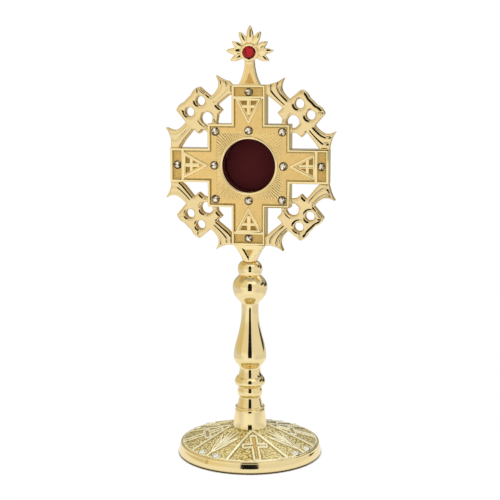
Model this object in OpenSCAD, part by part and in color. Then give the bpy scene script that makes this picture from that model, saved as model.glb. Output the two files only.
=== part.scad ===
// Standing cross reliquary: a pierced cross head round a glazed relic window,
// on a turned stem that a threaded rod clamps to a domed foot.
// Millimetres, +Z up, origin at the centre of the foot's bottom face, head facing -Y.

/* [Foot] */
// Diameter across the bottom of the foot
foot_d = 74.4; // [68:0.2:90]
// Height of the polished band round the edge
foot_band_h = 5.4; // [4.5:0.1:7]
// How far the band draws in towards its top
foot_band_taper = 0.8; // [0.4:0.1:1.5]
// Width of the lip along the top of the band
foot_lip_w = 1; // [0.6:0.1:1.6]
// Height of the flat seat that the collar stands on
foot_seat_h = 14; // [12:0.1:18]
// Wall of the hollow casting
foot_wall = 2; // [1.6:0.1:2.6]
// Height of the solid boss under the seat
foot_boss_h = 5; // [4:0.1:6]
// Turn of the foot's panels away from the head's front
foot_turn = 17; // [0:1:45]
// Triangular cross panels round the foot, with a lily panel after each
panel_count = 4; // [3:1:5]
// Half the angle that a cross panel spans at the band
panel_half_angle = 26; // [20:1:28]
// Height of the raised ribs, crosses and lilies
relief_rise = 0.6; // [0.3:0.1:1]
// Width of the ribs between the panels
rib_w = 1; // [0.6:0.1:1.6]
// Width of the outlined cross in each cross panel
foot_cross_w = 3.4; // [2.6:0.1:4.2]
// Width of the raised line round that cross
foot_cross_line = 0.8; // [0.5:0.1:1]
// Width of the lilies' narrow petals
petal_w = 1.5; // [1:0.1:2]
// Width of the leaves beside each lily
side_leaf_w = 2; // [1.4:0.1:2.6]

/* [Stem] */
// Height of the collar on the foot
collar_h = 10.8; // [8:0.1:14]
// Diameter of the collar at the foot
collar_d = 17.9; // [16:0.1:19.6]
// Height of the spool: a bell below and a bead above
spool_h = 10.3; // [8:0.1:14]
// Diameter of the bell's mouth
bell_d = 13.6; // [12.4:0.1:14.5]
// Diameter of the bead
bead_d = 13; // [12.6:0.1:14]
// Height of the knop
knop_h = 9.9; // [8:0.1:13]
// Diameter of the knop's edge
knop_d = 16; // [14:0.1:19]
// Height of the baluster's vase, up to its neck
vase_h = 33.7; // [28:0.1:42]
// Diameter of the vase's belly
vase_d = 17; // [14:0.1:20]
// Diameter of the neck between vase and ball
neck_d = 8.8; // [7.5:0.1:10]
// Height of the ball above the neck
ball_h = 15.5; // [13:0.1:19]
// Diameter of the ball
ball_d = 18; // [14:0.1:21]
// Diameter of the joint faces between the turned pieces
joint_d = 10; // [9.4:0.1:11]
// Height of the knob under the head
knob_h = 6.7; // [5:0.1:9]
// Diameter of the knob
knob_d = 12.7; // [12.4:0.1:15]

/* [Clamping rod] */
// Diameter of the threaded rod
rod_d = 4; // [3:0.5:5]
// Play round the rod in the turned pieces and in the head's thread
rod_clear = 0.1; // [0.05:0.05:0.3]
// How far the rod screws into the head
rod_grip = 7.5; // [5:0.5:8]
// Width of the nut across its flats
nut_w = 7; // [6.5:0.5:9]
// Thickness of the nut
nut_t = 3.2; // [2:0.1:3.4]
// Diameter of the washer
washer_d = 10; // [9:0.5:14]
// Thickness of the washer
washer_t = 0.8; // [0.5:0.1:1]

/* [Cross head] */
// Reach of each arm from the centre of the head
arm_reach = 40.5; // [38:0.1:46]
// Width of the arms
arm_w = 17.2; // [15:0.1:19]
// Depth of the cross from front to back
head_depth = 9; // [8:0.1:12]
// Width of the raised rim along the cross's outline
rim_w = 1.4; // [1:0.1:2]
// Height of the rim above the field
rim_rise = 0.8; // [0.5:0.1:1.2]
// Thickness of the front face behind the field
face_t = 2; // [1.6:0.1:2.6]
// Thickness of the side walls
head_wall = 1.8; // [1.4:0.1:2.4]
// Depth of the sunk grounds below the field
ground_drop = 0.5; // [0.2:0.1:0.8]
// Height of the sunk panel at the end of each arm
panel_h = 4.3; // [4:0.1:5.5]
// Width of the bars of the triangle tracery
tracery_w = 1.3; // [0.9:0.1:1.8]
// Length of the triangle tracery
tracery_h = 13; // [11:0.1:14]
// Height of the bracket between the lower arm and the knob
bracket_h = 8.9; // [7.9:0.1:12]
// Depth of the bracket
bracket_depth = 6.8; // [6:0.1:8]
// Diameter of the bracket's lower end
bracket_d = 7.2; // [6.4:0.1:8.4]

/* [Corner ornaments] */
// Depth of the openwork ornaments
ornament_depth = 5.4; // [4:0.1:7]
// How far the ornaments stand back from the rim
ornament_setback = 1; // [0.5:0.1:1.6]
// Diameter of the two round eyes of each ornament
eye_d = 4.8; // [3.6:0.1:5]
// Diameter of the opening beside the square's corner
loop_d = 6.4; // [5.6:0.1:7.4]
// Width of the grooves cut into the ornaments
groove_w = 0.5; // [0.3:0.1:0.7]
// Depth of those grooves
groove_d = 0.7; // [0.3:0.1:1.2]

/* [Finial] */
// Height of the red stone's centre above the top arm
finial_rise = 15.8; // [13:0.1:20]
// Length of the tallest ray from the stone's centre
ray_up = 13.4; // [11:0.1:16]
// Length of the side rays from the stone's centre
ray_side = 12; // [10:0.1:15]
// Thickness of the rays
ray_t = 3.2; // [2:0.1:4]
// Diameter of the cup round the red stone
cup_d = 8.8; // [8.2:0.1:10]
// Width of the neck below the cup
finial_neck_w = 4.6; // [4:0.1:6]

/* [Stones] */
// Diameter of the crystals on the head
crystal_d = 4; // [3:0.1:4.2]
// Diameter of the stones on the foot
foot_stone_d = 3.2; // [2.4:0.1:3.6]
// Diameter of the red stone
red_stone_d = 6.5; // [5:0.1:7.2]
// Play round a stone in its seat
stone_clear = 0.05; // [0.02:0.01:0.1]

/* [Relic window] */
// Diameter of the open window
window_d = 26.8; // [24:0.1:30]
// Width of the bezel's flange
bezel_w = 1.5; // [1.2:0.1:2]
// Height of the bezel's flange above the field
bezel_rise = 0.7; // [0.4:0.1:0.8]
// Wall of the bezel's sleeve
bezel_wall = 0.7; // [0.5:0.1:1]
// Thickness of the glass
glass_t = 1.5; // [1:0.1:2]
// How far the glass laps over the window's edge
glass_lap = 1.8; // [1.4:0.1:2.4]
// Width of the square's field outside the window
window_margin = 7.6; // [7.2:0.1:9]
// Play between the fixed pieces of the window
fit_clear = 0.05; // [0.02:0.01:0.1]

/* [Capsule and rear door] */
// Wall of the capsule
capsule_wall = 1.2; // [1:0.1:1.6]
// How far the capsule's flange spreads over the back plate
flange_w = 2.4; // [2:0.1:3]
// Thickness of the flange
flange_t = 1; // [0.8:0.1:1.6]
// Thickness of the velvet sleeve inside the capsule
sleeve_t = 0.5; // [0.4:0.1:0.8]
// Thickness of the velvet pad on the door
pad_t = 1.4; // [1:0.1:1.6]
// Play round the pad in the sleeve
pad_clear = 0.35; // [0.3:0.05:0.6]
// Thickness of the door's edge
door_t = 1.5; // [1.2:0.1:2]
// Height of the door's crown above its edge
door_crown = 0.8; // [0.4:0.1:1.4]
// Gap between the closed door and the flange
door_gap = 0.1; // [0.05:0.05:0.2]
// Diameter of the hinge pin
pin_d = 1.6; // [1.2:0.1:1.8]
// Outside diameter of the hinge knuckles
knuckle_d = 3; // [2.8:0.1:3.6]
// Length of the hinge
hinge_len = 12; // [9:0.5:15]
// Play round the pin in the door's knuckle
hinge_clear = 0.08; // [0.02:0.01:0.1]
// Play between the knuckles along the pin, and under the door's knuckle
knuckle_gap = 0.2; // [0.1:0.05:0.3]

/* [Back plate] */
// Thickness of the back plate
plate_t = 1.2; // [0.8:0.1:1.6]
// Diameter of the plate's screws
screw_d = 2; // [1.6:0.1:2.5]
// Length of the screws under their heads
screw_len = 4.5; // [3.5:0.1:5]

/* [Hidden] */
$fn = 64;

polished_gold = [0.89, 0.76, 0.47];
satin_gold = [0.82, 0.67, 0.38];
steel = [0.72, 0.72, 0.74];
crystal_white = [0.93, 0.94, 0.97];
ruby = [0.75, 0.05, 0.09];
velvet = [0.27, 0.07, 0.09];

// A little extra length, so that cuts run clear through
past = 1;
// How far one cast shape sinks into the next, so that they join
bond = 0.3;

// Heights of the stack, from the foot up
collar_z = foot_seat_h;
spool_z = collar_z + collar_h;
knop_z = spool_z + spool_h;
baluster_z = knop_z + knop_h;
baluster_h = vase_h + ball_h;
knob_z = baluster_z + baluster_h;
head_bottom = knob_z + knob_h;
head_z = head_bottom + bracket_h + arm_reach;

// Foot: the dome runs straight from the band's top edge up to the seat
foot_r = foot_d / 2;
band_round = 0.5;
band_top_r = foot_r - foot_band_taper;
band_top_z = foot_band_h - foot_lip_w / 2;
dome_r = band_top_r - foot_lip_w;
dome_edge_z = foot_band_h + foot_lip_w / 2;
seat_margin = 0.2;
seat_r = collar_d / 2 + seat_margin;
dome_tilt = atan((foot_seat_h - dome_edge_z) / (dome_r - seat_r));
foot_inner_r = band_top_r - foot_wall;
boss_margin = 2;
boss_r = washer_d / 2 + boss_margin;
boss_z = foot_seat_h - foot_boss_h;
panel_pitch = 360 / panel_count;
foot_stone_margin = 0.4;
foot_stone_r = dome_r - foot_stone_d / 2 - foot_stone_margin;
foot_stone_angle = 8;
// Where the outlined cross stops short of the collar and of the lip
foot_cross_top = 6;
foot_cross_foot = 1.2;
function dome_z(r) = foot_seat_h - (r - seat_r) * tan(dome_tilt);

// Clamping rod
rod_hole_r = rod_d / 2 + rod_clear;
washer_z = boss_z - washer_t;
nut_z = washer_z - nut_t;
rod_tail = 0.8;
rod_end_play = 0.4;

// Cross head: front is -Y, and the stem's axis runs through the middle of its depth
arm_half = arm_w / 2;
square_w = window_d + 2 * window_margin;
square_half = square_w / 2;
y_front = -head_depth / 2;
y_back = head_depth / 2;
y_field = y_front + rim_rise;
y_ground = y_field + ground_drop;
y_inside = y_field + face_t;
y_plate = y_back - plate_t;
panel_v = arm_reach - rim_w - panel_h;
tracery_top = panel_v - tracery_w;
tracery_margin = 0.5;
tracery_half = arm_half - rim_w - tracery_margin;
tracery_front = y_front + rim_rise / 4;

// Corner ornaments
orn_front = y_front + ornament_setback;
orn_back = orn_front + ornament_depth;
eye_dish_w = 1.7;
eye_dish_d = 0.4;

// Finial
finial_v = arm_reach + finial_rise;
ray_front = -ray_t * 0.7;
ray_back = ray_front + ray_t;
cup_rise = 1.2;
cup_front = ray_front - cup_rise;
ray_spread = 27.5;
ray_steps = 3;
ray_waist_r = 7.9;
ray_valley_r = 7.8;
group_valley_r = 5.6;
ray_shoulder = 0.87;
side_axis = 4.6;
neck_front = -finial_neck_w / 2;
neck_back = finial_neck_w / 2 - 0.6;
// Depth of the small triangles in the finial's neck and in the bracket
triangle_drop = 0.8;

// Relic window, from the bezel back to the door
window_r = window_d / 2;
bezel_r = window_r + bezel_w;
bezel_front = y_field - bezel_rise;
window_hole_r = window_r + bezel_wall + fit_clear;
glass_r = window_r + glass_lap;
glass_back = y_inside + glass_t + fit_clear;
capsule_r = glass_r + fit_clear + capsule_wall;
glass_ledge = 0.7;
chamber_r = glass_r - glass_ledge;
sleeve_r = chamber_r - fit_clear;
flange_r = capsule_r + flange_w;
flange_back = y_back + flange_t;
door_front = flange_back + door_gap;
door_back = door_front + door_t;
door_lap = 0.2;
door_r = capsule_r + door_lap;
pad_front = door_front - pad_t;
pad_r = sleeve_r - sleeve_t - pad_clear;
knuckle_r = knuckle_d / 2;
knuckle_reach = 0.5;
hinge_x = -(door_r + knuckle_r + knuckle_reach);
hinge_y = flange_back + knuckle_gap + knuckle_r;
door_knuckle = hinge_len * 0.4;
ear_half = hinge_len / 2;
pin_proud = 0.3;
tab_w = 5;
tab_out = 2;

// Stones: a low crown above the girdle and a short point below it
stone_crown = 0.22;
stone_girdle = 0.1;
stone_point = 0.28;
stone_table = 0.56;
stone_culet = 0.24;
crystal_margin = 0.5;
bezel_margin = 0.8;
inner_crystal = bezel_r + bezel_margin + crystal_d / 2;
corner_crystal = square_half - rim_w - crystal_margin - crystal_d / 2;
end_crystal = panel_v + panel_h / 2;

// Screws of the back plate
boss_v = (capsule_r + flange_w + arm_reach) / 2;
screw_boss_wall = 1.6;
screw_boss_r = screw_d / 2 + screw_boss_wall;
screw_head_r = screw_d * 0.95;
screw_head_t = screw_d * 0.5;
screw_clear = 0.1;

// Points along a cubic curve from a to d, with the handles b and c
function curve(a, b, c, d, n = 8) = [
  for (i = [0:n])
    let (t = i / n, s = 1 - t)
    s * s * s * a + 3 * s * s * t * b + 3 * s * t * t * c + t * t * t * d
];
// The same points on the other side of the upright axis, last one first
function flipped(points) = [
  for (i = [len(points) - 1:-1:0]) [-points[i][0], points[i][1]]
];

// A turned piece with the rod's hole through it: profile runs up its outside
module turned(z, profile) {
  top = profile[len(profile) - 1][1];
  translate([0, 0, z])
    rotate_extrude()
      polygon(concat([[rod_hole_r, 0]], profile, [[rod_hole_r, top]]));
}

// A flat outline of the head, drawn as the front shows it, between two depths
module head_slab(y0, y1) {
  translate([0, y1, head_z])
    rotate([90, 0, 0])
      linear_extrude(y1 - y0) children();
}

// A round disc of the window between two depths
module window_disc(y0, y1, r) {
  translate([0, y1, head_z])
    rotate([90, 0, 0])
      cylinder(h = y1 - y0, r = r);
}

// A straight bar between two points of an outline
module bar(p, q, w) {
  d = q - p;
  translate(p)
    rotate(atan2(d[1], d[0]))
      translate([0, -w / 2])
        square([norm(d), w]);
}

// A pointed leaf from the origin along +Y, bounded by two arcs
module leaf(len, w) {
  r = (len * len / 4 + w * w / 4) / w;
  intersection() {
    translate([r - w / 2, len / 2]) circle(r = r);
    translate([w / 2 - r, len / 2]) circle(r = r);
  }
}

module four_ways() {
  for (a = [0:90:270])
    rotate(a) children();
}

module four_corners() {
  for (a = [0, 1], b = [0, 1])
    mirror([a, 0]) mirror([0, b]) children();
}

// Foot

// Outside of the foot: a rounded edge, the convex band, a rounded lip, the dome and the seat
foot_outline = concat(
  [[0, 0]],
  curve([foot_r - band_round, 0], [foot_r - band_round * 0.45, 0],
    [foot_r, band_round * 0.45], [foot_r, band_round], 3),
  curve([foot_r, band_round * 1.4], [foot_r, band_top_z * 0.49],
    [foot_r - foot_band_taper * 0.3, band_top_z * 0.73], [band_top_r, band_top_z], 5),
  curve([band_top_r, band_top_z + 0.1], [band_top_r, foot_band_h + foot_lip_w * 0.2],
    [dome_r + foot_lip_w * 0.6, dome_edge_z + foot_lip_w * 0.4], [dome_r, dome_edge_z], 6),
  [[seat_r, foot_seat_h], [0, foot_seat_h]]
);

// Its hollow, with the boss for the rod left standing in the middle
foot_hollow = [
  [0, -past], [foot_inner_r, -past],
  [foot_inner_r, dome_edge_z - foot_wall],
  [boss_r, dome_z(boss_r + boss_margin) - foot_wall / cos(dome_tilt)],
  [boss_r, boss_z], [0, boss_z]
];

// A cross panel, along -Y: two ribs that spread from the collar, and an outlined cross
module cross_panel_2d() {
  corner = dome_r * [sin(panel_half_angle), -cos(panel_half_angle)];
  apex = [0, -seat_r - rib_w / 2];
  bar(apex, corner, rib_w);
  bar(apex, [-corner[0], corner[1]], rib_w);
  difference() {
    cross_figure_2d(0);
    cross_figure_2d(foot_cross_line);
  }
}

module cross_figure_2d(inset) {
  w = foot_cross_w - 2 * inset;
  top = -seat_r - foot_cross_top;
  foot_end = -dome_r + foot_cross_foot;
  crossing = top * 0.6 + foot_end * 0.4;
  half = dome_r * sin(panel_half_angle) * 0.42;
  bar([0, foot_end + inset], [0, top - inset], w);
  bar([-half + inset, crossing], [half - inset, crossing], w);
}

// A lily panel, along -Y: a stem, a fan of narrow petals towards the collar, and two leaves
module lily_panel_2d() {
  root = -dome_r + rib_w;
  throat = -dome_r * 0.82;
  reach = -seat_r - rib_w - throat;
  petal_turn = 8.5;
  leaf_turn = 26;
  bar([0, root], [0, throat + 3 * rib_w], rib_w);
  for (k = [-2:2])
    translate([0, throat]) rotate(k * petal_turn) leaf(reach * (1 - 0.03 * abs(k)), petal_w);
  for (a = [-leaf_turn, leaf_turn])
    translate([0, root + 2 * rib_w]) rotate(a) leaf(reach * 0.8, side_leaf_w);
}

module foot_relief() {
  intersection() {
    linear_extrude(foot_seat_h + relief_rise)
      for (i = [0:panel_count - 1])
        rotate(foot_turn + i * panel_pitch) {
          cross_panel_2d();
          rotate(panel_pitch / 2) lily_panel_2d();
        }
    rotate_extrude()
      polygon([
        [seat_r, foot_seat_h - bond], [dome_r, dome_edge_z - bond],
        [dome_r, dome_edge_z + relief_rise], [seat_r, foot_seat_h + relief_rise]
      ]);
  }
}

// Places children on the dome at each stone, looking out along the dome's normal
module at_foot_stones() {
  for (i = [0:panel_count - 1], side = [-1, 1])
    rotate(foot_turn + (i + 0.5) * panel_pitch + side * foot_stone_angle)
      translate([0, -foot_stone_r, dome_z(foot_stone_r)])
        rotate([dome_tilt, 0, 0]) children();
}

module foot() {
  color(polished_gold)
    difference() {
      union() {
        difference() {
          rotate_extrude() polygon(foot_outline);
          rotate_extrude() polygon(foot_hollow);
        }
        foot_relief();
      }
      translate([0, 0, boss_z - past])
        cylinder(h = foot_boss_h + 2 * past, r = rod_hole_r);
      at_foot_stones() stone_seat(foot_stone_d);
    }
}

// Stones

// A cut stone on the origin's plane, with its crown towards +Z
module cut_stone(d) {
  girdle = d * stone_girdle;
  cylinder(h = girdle, r = d / 2);
  translate([0, 0, girdle])
    cylinder(h = d * stone_crown, d1 = d, d2 = d * stone_table);
  translate([0, 0, -d * stone_point])
    cylinder(h = d * stone_point, d1 = d * stone_culet, d2 = d);
}

// The drilled seat that holds it
module stone_seat(d) {
  depth = d * stone_point + stone_clear;
  translate([0, 0, -depth])
    cylinder(h = depth + past, r = d / 2 + stone_clear);
}

// Places children on the head's front at a point of its face, looking forward
module at_front(p, y) {
  translate([p[0], y, head_z + p[1]])
    rotate([90, 0, 0]) children();
}

module at_crystals() {
  for (d = [[1, 0], [0, 1], [-1, 0], [0, -1]]) {
    at_front(d * end_crystal, y_ground) children();
    at_front(d * inner_crystal, y_field) children();
  }
  for (d = [[1, 1], [-1, 1], [-1, -1], [1, -1]])
    at_front(d * corner_crystal, y_field) children();
}

module foot_stones() {
  color(crystal_white)
    at_foot_stones() cut_stone(foot_stone_d);
}

module crystals() {
  color(crystal_white)
    at_crystals() cut_stone(crystal_d);
}

module finial_stone() {
  color(ruby)
    at_front([0, finial_v], cup_front) cut_stone(red_stone_d);
}

// Rod and its fastenings

module tie_rod() {
  color(steel)
    translate([0, 0, nut_z - rod_tail])
      cylinder(h = head_bottom + rod_grip - rod_end_play - nut_z + rod_tail, r = rod_d / 2);
}

module rod_nut() {
  color(steel)
    translate([0, 0, nut_z])
      difference() {
        cylinder(h = nut_t, r = nut_w / 2 / cos(30), $fn = 6);
        translate([0, 0, -past]) cylinder(h = nut_t + 2 * past, r = rod_hole_r);
      }
}

module rod_washer() {
  color(steel)
    translate([0, 0, washer_z])
      difference() {
        cylinder(h = washer_t, r = washer_d / 2);
        translate([0, 0, -past]) cylinder(h = washer_t + 2 * past, r = rod_hole_r);
      }
}

// Turned stem

// Collar: a flared foot, a long cone, and a ring set off by a groove
module foot_collar() {
  flare_r = collar_d / 2;
  cone_r = flare_r - 0.5;
  neck_r = flare_r - 1.2;
  groove_r = flare_r - 1.65;
  ring_r = neck_r;
  ring_z = collar_h * 0.905;
  ring_h = collar_h - ring_z;
  color(polished_gold)
    turned(collar_z, concat(
      curve([flare_r, 0], [flare_r - 0.15, collar_h * 0.1],
        [cone_r + 0.12, collar_h * 0.24], [cone_r, collar_h * 0.32], 4),
      curve([neck_r, collar_h * 0.82], [neck_r - 0.08, collar_h * 0.86],
        [groove_r + 0.1, ring_z - 0.2], [groove_r, ring_z - 0.1], 4),
      curve([groove_r, ring_z], [ring_r + 0.15, ring_z + ring_h * 0.1],
        [ring_r + 0.15, collar_h - ring_h * 0.1], [groove_r, collar_h], 6)
    ));
}

// Spool: a straight-sided bell, a narrow waist, and a bead that is widest near its top
module stem_spool() {
  bell_r = bell_d / 2;
  bead_r = bead_d / 2;
  waist_r = joint_d / 2 + 0.6;
  top_r = joint_d / 2 + 1.05;
  waist_z = spool_h * 0.45;
  bead_z = spool_h * 0.49;
  widest_z = spool_h * 0.73;
  color(polished_gold)
    turned(spool_z, concat(
      [[bell_r, 0], [waist_r, waist_z]],
      curve([waist_r, bead_z], [bead_r - 0.5, bead_z + 0.3],
        [bead_r, bead_z + 1.2], [bead_r, widest_z], 5),
      [[top_r + 0.1, spool_h * 0.93], [top_r, spool_h]]
    ));
}

// Knop: a bulged edge with a groove above it, and a hollow cone up to the baluster
module stem_knop() {
  edge_r = knop_d / 2;
  foot_end_r = joint_d / 2 + 1.2;
  cone_r = joint_d / 2 + 1.35;
  top_r = joint_d / 2 + 0.3;
  cone_z = knop_h * 0.585;
  groove_z = knop_h * 0.565;
  color(polished_gold)
    turned(knop_z, concat(
      curve([foot_end_r, 0], [foot_end_r + 0.4, knop_h * 0.07],
        [edge_r, knop_h * 0.11], [edge_r, knop_h * 0.25], 6),
      curve([edge_r, knop_h * 0.28], [edge_r, knop_h * 0.37],
        [edge_r - 0.6, knop_h * 0.48], [cone_r + 0.3, groove_z], 5),
      [[cone_r, groove_z]],
      curve([cone_r, cone_z], [cone_r - 0.5, knop_h * 0.69],
        [top_r + 0.3, knop_h * 0.75], [top_r, knop_h], 5)
    ));
}

module stem_baluster() {
  belly_r = vase_d / 2;
  neck_r = neck_d / 2;
  ball_r = ball_d / 2;
  joint_r = joint_d / 2;
  belly_z = vase_h * 0.19;
  ball_z = vase_h + ball_h * 0.6;
  color(polished_gold)
    turned(baluster_z, concat(
      curve([joint_r + 0.5, 0], [joint_r + 0.75, belly_z * 0.32],
        [belly_r, belly_z * 0.47], [belly_r, belly_z], 8),
      curve([belly_r, belly_z + 0.2], [belly_r, belly_z + vase_h * 0.2],
        [neck_r + 0.1, vase_h * 0.55], [neck_r, vase_h], 12),
      curve([neck_r, vase_h + 0.4], [neck_r + 0.9, vase_h + ball_h * 0.14],
        [ball_r, vase_h + ball_h * 0.27], [ball_r, ball_z], 10),
      curve([ball_r, ball_z + 0.1], [ball_r, vase_h + ball_h * 0.77],
        [ball_r * 0.82, vase_h + ball_h * 0.88], [joint_r + 0.3, baluster_h], 8)
    ));
}

module head_knob() {
  edge_r = knob_d / 2;
  color(polished_gold)
    turned(knob_z, concat(
      curve([joint_d / 2 + 0.6, 0], [joint_d / 2 + 0.95, knob_h * 0.09],
        [edge_r, knob_h * 0.24], [edge_r, knob_h * 0.43], 6),
      curve([edge_r, knob_h * 0.46], [edge_r, knob_h * 0.69],
        [edge_r * 0.88, knob_h * 0.88], [edge_r * 0.72, knob_h], 6)
    ));
}

// Cross head

module cross_2d(inset = 0) {
  square([2 * (arm_reach - inset), arm_w - 2 * inset], center = true);
  square([arm_w - 2 * inset, 2 * (arm_reach - inset)], center = true);
  square(square_w - 2 * inset, center = true);
}

module tracery_triangle_2d(inset) {
  drop = inset * tracery_h / tracery_half;
  polygon([
    [-tracery_half + 1.6 * inset, tracery_top],
    [tracery_half - 1.6 * inset, tracery_top],
    [0, tracery_top - tracery_h + 1.6 * drop]
  ]);
}

module tracery_cross_2d() {
  crossing = tracery_top - tracery_h * 0.24;
  bar([0, tracery_top - tracery_h], [0, tracery_top + 0.1], tracery_w);
  bar([-tracery_half, crossing], [tracery_half, crossing], tracery_w * 0.85);
}

// Sunk grounds of the upper arm: the end panel, and the openings round the little cross
module arm_grounds_2d() {
  inner_half = arm_half - rim_w;
  translate([-inner_half, panel_v])
    square([2 * inner_half, panel_h]);
  difference() {
    tracery_triangle_2d(tracery_w);
    tracery_cross_2d();
  }
}

// Raised tracery of the upper arm: a bar under the end panel, and a triangle that points inwards
module arm_tracery_2d() {
  bar([-arm_half + rim_w - bond, panel_v - tracery_w / 2],
    [arm_half - rim_w + bond, panel_v - tracery_w / 2], tracery_w);
  difference() {
    tracery_triangle_2d(0);
    tracery_triangle_2d(tracery_w);
  }
  intersection() {
    tracery_triangle_2d(0);
    tracery_cross_2d();
  }
}

// Corner ornament, drawn for the upper right corner and measured from the square's corner
corner = [square_half, square_half];
eye_at = corner + [4.4, 10];
loop_at = corner + [1.2, 1.2];
// Outline above the diagonal: lobe with its tip, ribbon's root, barb, and foot on the square
lobe_half = concat(
  [corner + [11.2, 11.2], corner + [9.4, 12.9]],
  curve(corner + [9.2, 13.2], corner + [8.6, 15], corner + [7, 16.4], corner + [5.1, 17], 5),
  [
    corner + [-0.8, 12], corner + [-4, 8], corner + [-6.7, 5.5],
    corner + [-4.4, 2.9], corner + [-4.4, -bond], corner + [-bond, -bond]
  ]
);
// Ribbon leaf from the ornament to the end of the arm, with a flared tip
ribbon_tip = [arm_half + 9, arm_reach + 3.3];
ribbon_root = corner + [-1, 12.2];
ribbon = concat(
  curve([arm_half - bond, arm_reach], [arm_half + 3, arm_reach + 0.2],
    [arm_half + 6, arm_reach + 1], ribbon_tip, 6),
  curve(ribbon_tip, ribbon_tip + [-2.4, -4.4], ribbon_root + [-4.6, 4.2], ribbon_root, 8),
  [corner + [-3, 7.6], corner + [-4, 8], [arm_half - bond, arm_reach - 4.4]]
);

module corner_half_2d() {
  polygon(lobe_half);
  polygon(ribbon);
}

module corner_ornament_2d() {
  difference() {
    union() {
      corner_half_2d();
      mirror([1, -1]) corner_half_2d();
    }
    translate(loop_at) circle(d = loop_d);
    translate(eye_at) circle(d = eye_d);
    translate([eye_at[1], eye_at[0]]) circle(d = eye_d);
  }
}

module ring_2d(d, w) {
  difference() {
    circle(d = d + 2 * w);
    circle(d = d);
  }
}

// Grooves of one ribbon: two lines that follow its curve
module ribbon_groove_2d(top, root, pull) {
  line = curve(top, top + [-0.6, -3.6], root + pull, root, 6);
  polygon(concat(line, [for (i = [len(line) - 1:-1:0]) line[i] + [groove_w, groove_w / 2]]));
}

module corner_grooves_2d() {
  intersection() {
    difference() {
      translate(loop_at) ring_2d(loop_d + 2.4, groove_w);
      translate(corner - [20, 20]) square(20);
    }
    corner_ornament_2d();
  }
  for (m = [0, 1])
    mirror([m, -m]) {
      ribbon_groove_2d(ribbon_tip - [2.4, 2.2], ribbon_root - [0.4, 1.2], [-3.6, 3.6]);
      ribbon_groove_2d([arm_half + 2.6, arm_reach - 0.6], ribbon_root - [1.8, 2.9], [-4, 3.6]);
    }
}

// Shallow conical dishes round the eyes
module eye_dishes() {
  for (a = [-1, 1], b = [-1, 1], p = [eye_at, [eye_at[1], eye_at[0]]])
    at_front([a * p[0], b * p[1]], orn_front + eye_dish_d)
      cylinder(h = eye_dish_d, d1 = eye_d, d2 = eye_d + 2 * eye_dish_w);
}

function polar(a, r) = r * [cos(a), sin(a)];
// One side of a leaf-shaped ray, from the valley beside it out to its tip
function ray_edge(a, turn, reach, valley) = curve(
  polar(a + turn, valley), polar(a + turn * 0.86, valley * 0.3 + ray_waist_r * 0.7),
  polar(a + turn * 0.53, valley * 0.28 + reach * 0.72), polar(a, reach), ray_steps
);
// Star of three groups of three rays, about the stone's centre
star = concat([[0, 0]], [
  for (g = [[side_axis, ray_side], [90, ray_up], [180 - side_axis, ray_side]], k = [-1:1])
    let (
      a = g[0] + k * ray_spread,
      reach = g[1] * (k == 0 ? 1 : ray_shoulder),
      rising = ray_edge(a, -ray_spread / 2, reach, k == -1 ? group_valley_r : ray_valley_r),
      falling = ray_edge(a, ray_spread / 2, reach, k == 1 ? group_valley_r : ray_valley_r)
    )
    each concat(rising, [for (i = [ray_steps - 1:-1:(k == 1 ? 0 : 1)]) falling[i]])
]);

module finial_neck_2d() {
  side = curve([arm_half * 0.66, arm_reach - bond], [arm_half * 0.48, arm_reach + 2.4],
    [finial_neck_w / 2 + 0.3, arm_reach + finial_rise * 0.38],
    [finial_neck_w / 2, finial_v - cup_d / 2 + bond], 8);
  polygon(concat(side, flipped(side)));
}

module finial() {
  head_slab(neck_front, neck_back) finial_neck_2d();
  head_slab(ray_front, ray_back) translate([0, finial_v]) polygon(star);
  head_slab(cup_front, ray_back) translate([0, finial_v]) circle(d = cup_d);
}

// Bracket: a turned flare that spreads up to the lower arm, cut flat in front and behind
module bracket() {
  top = bracket_h + bond;
  flare = curve([bracket_d / 2, 0], [bracket_d / 2 + 1, bracket_h * 0.4],
    [arm_half * 0.76, bracket_h * 0.7], [arm_half, top], 8);
  intersection() {
    translate([0, 0, head_bottom])
      rotate_extrude() polygon(concat([[0, 0]], flare, [[0, top]]));
    head_slab(-bracket_depth / 2, bracket_depth / 2)
      translate([-arm_half, -arm_reach - bracket_h]) square([arm_w, top]);
  }
}

// A small triangle sunk into the finial's neck and the bracket
module sunk_triangle_2d(half, len) {
  polygon([[-half, 0], [half, 0], [0, len]]);
}

module screw_bosses() {
  head_slab(y_inside - bond, y_plate)
    four_ways() translate([0, boss_v]) circle(r = screw_boss_r);
}

module screw_holes() {
  head_slab(y_back - screw_len - screw_clear, y_back)
    four_ways() translate([0, boss_v]) circle(r = screw_d / 2 + screw_clear / 2);
}

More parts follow.
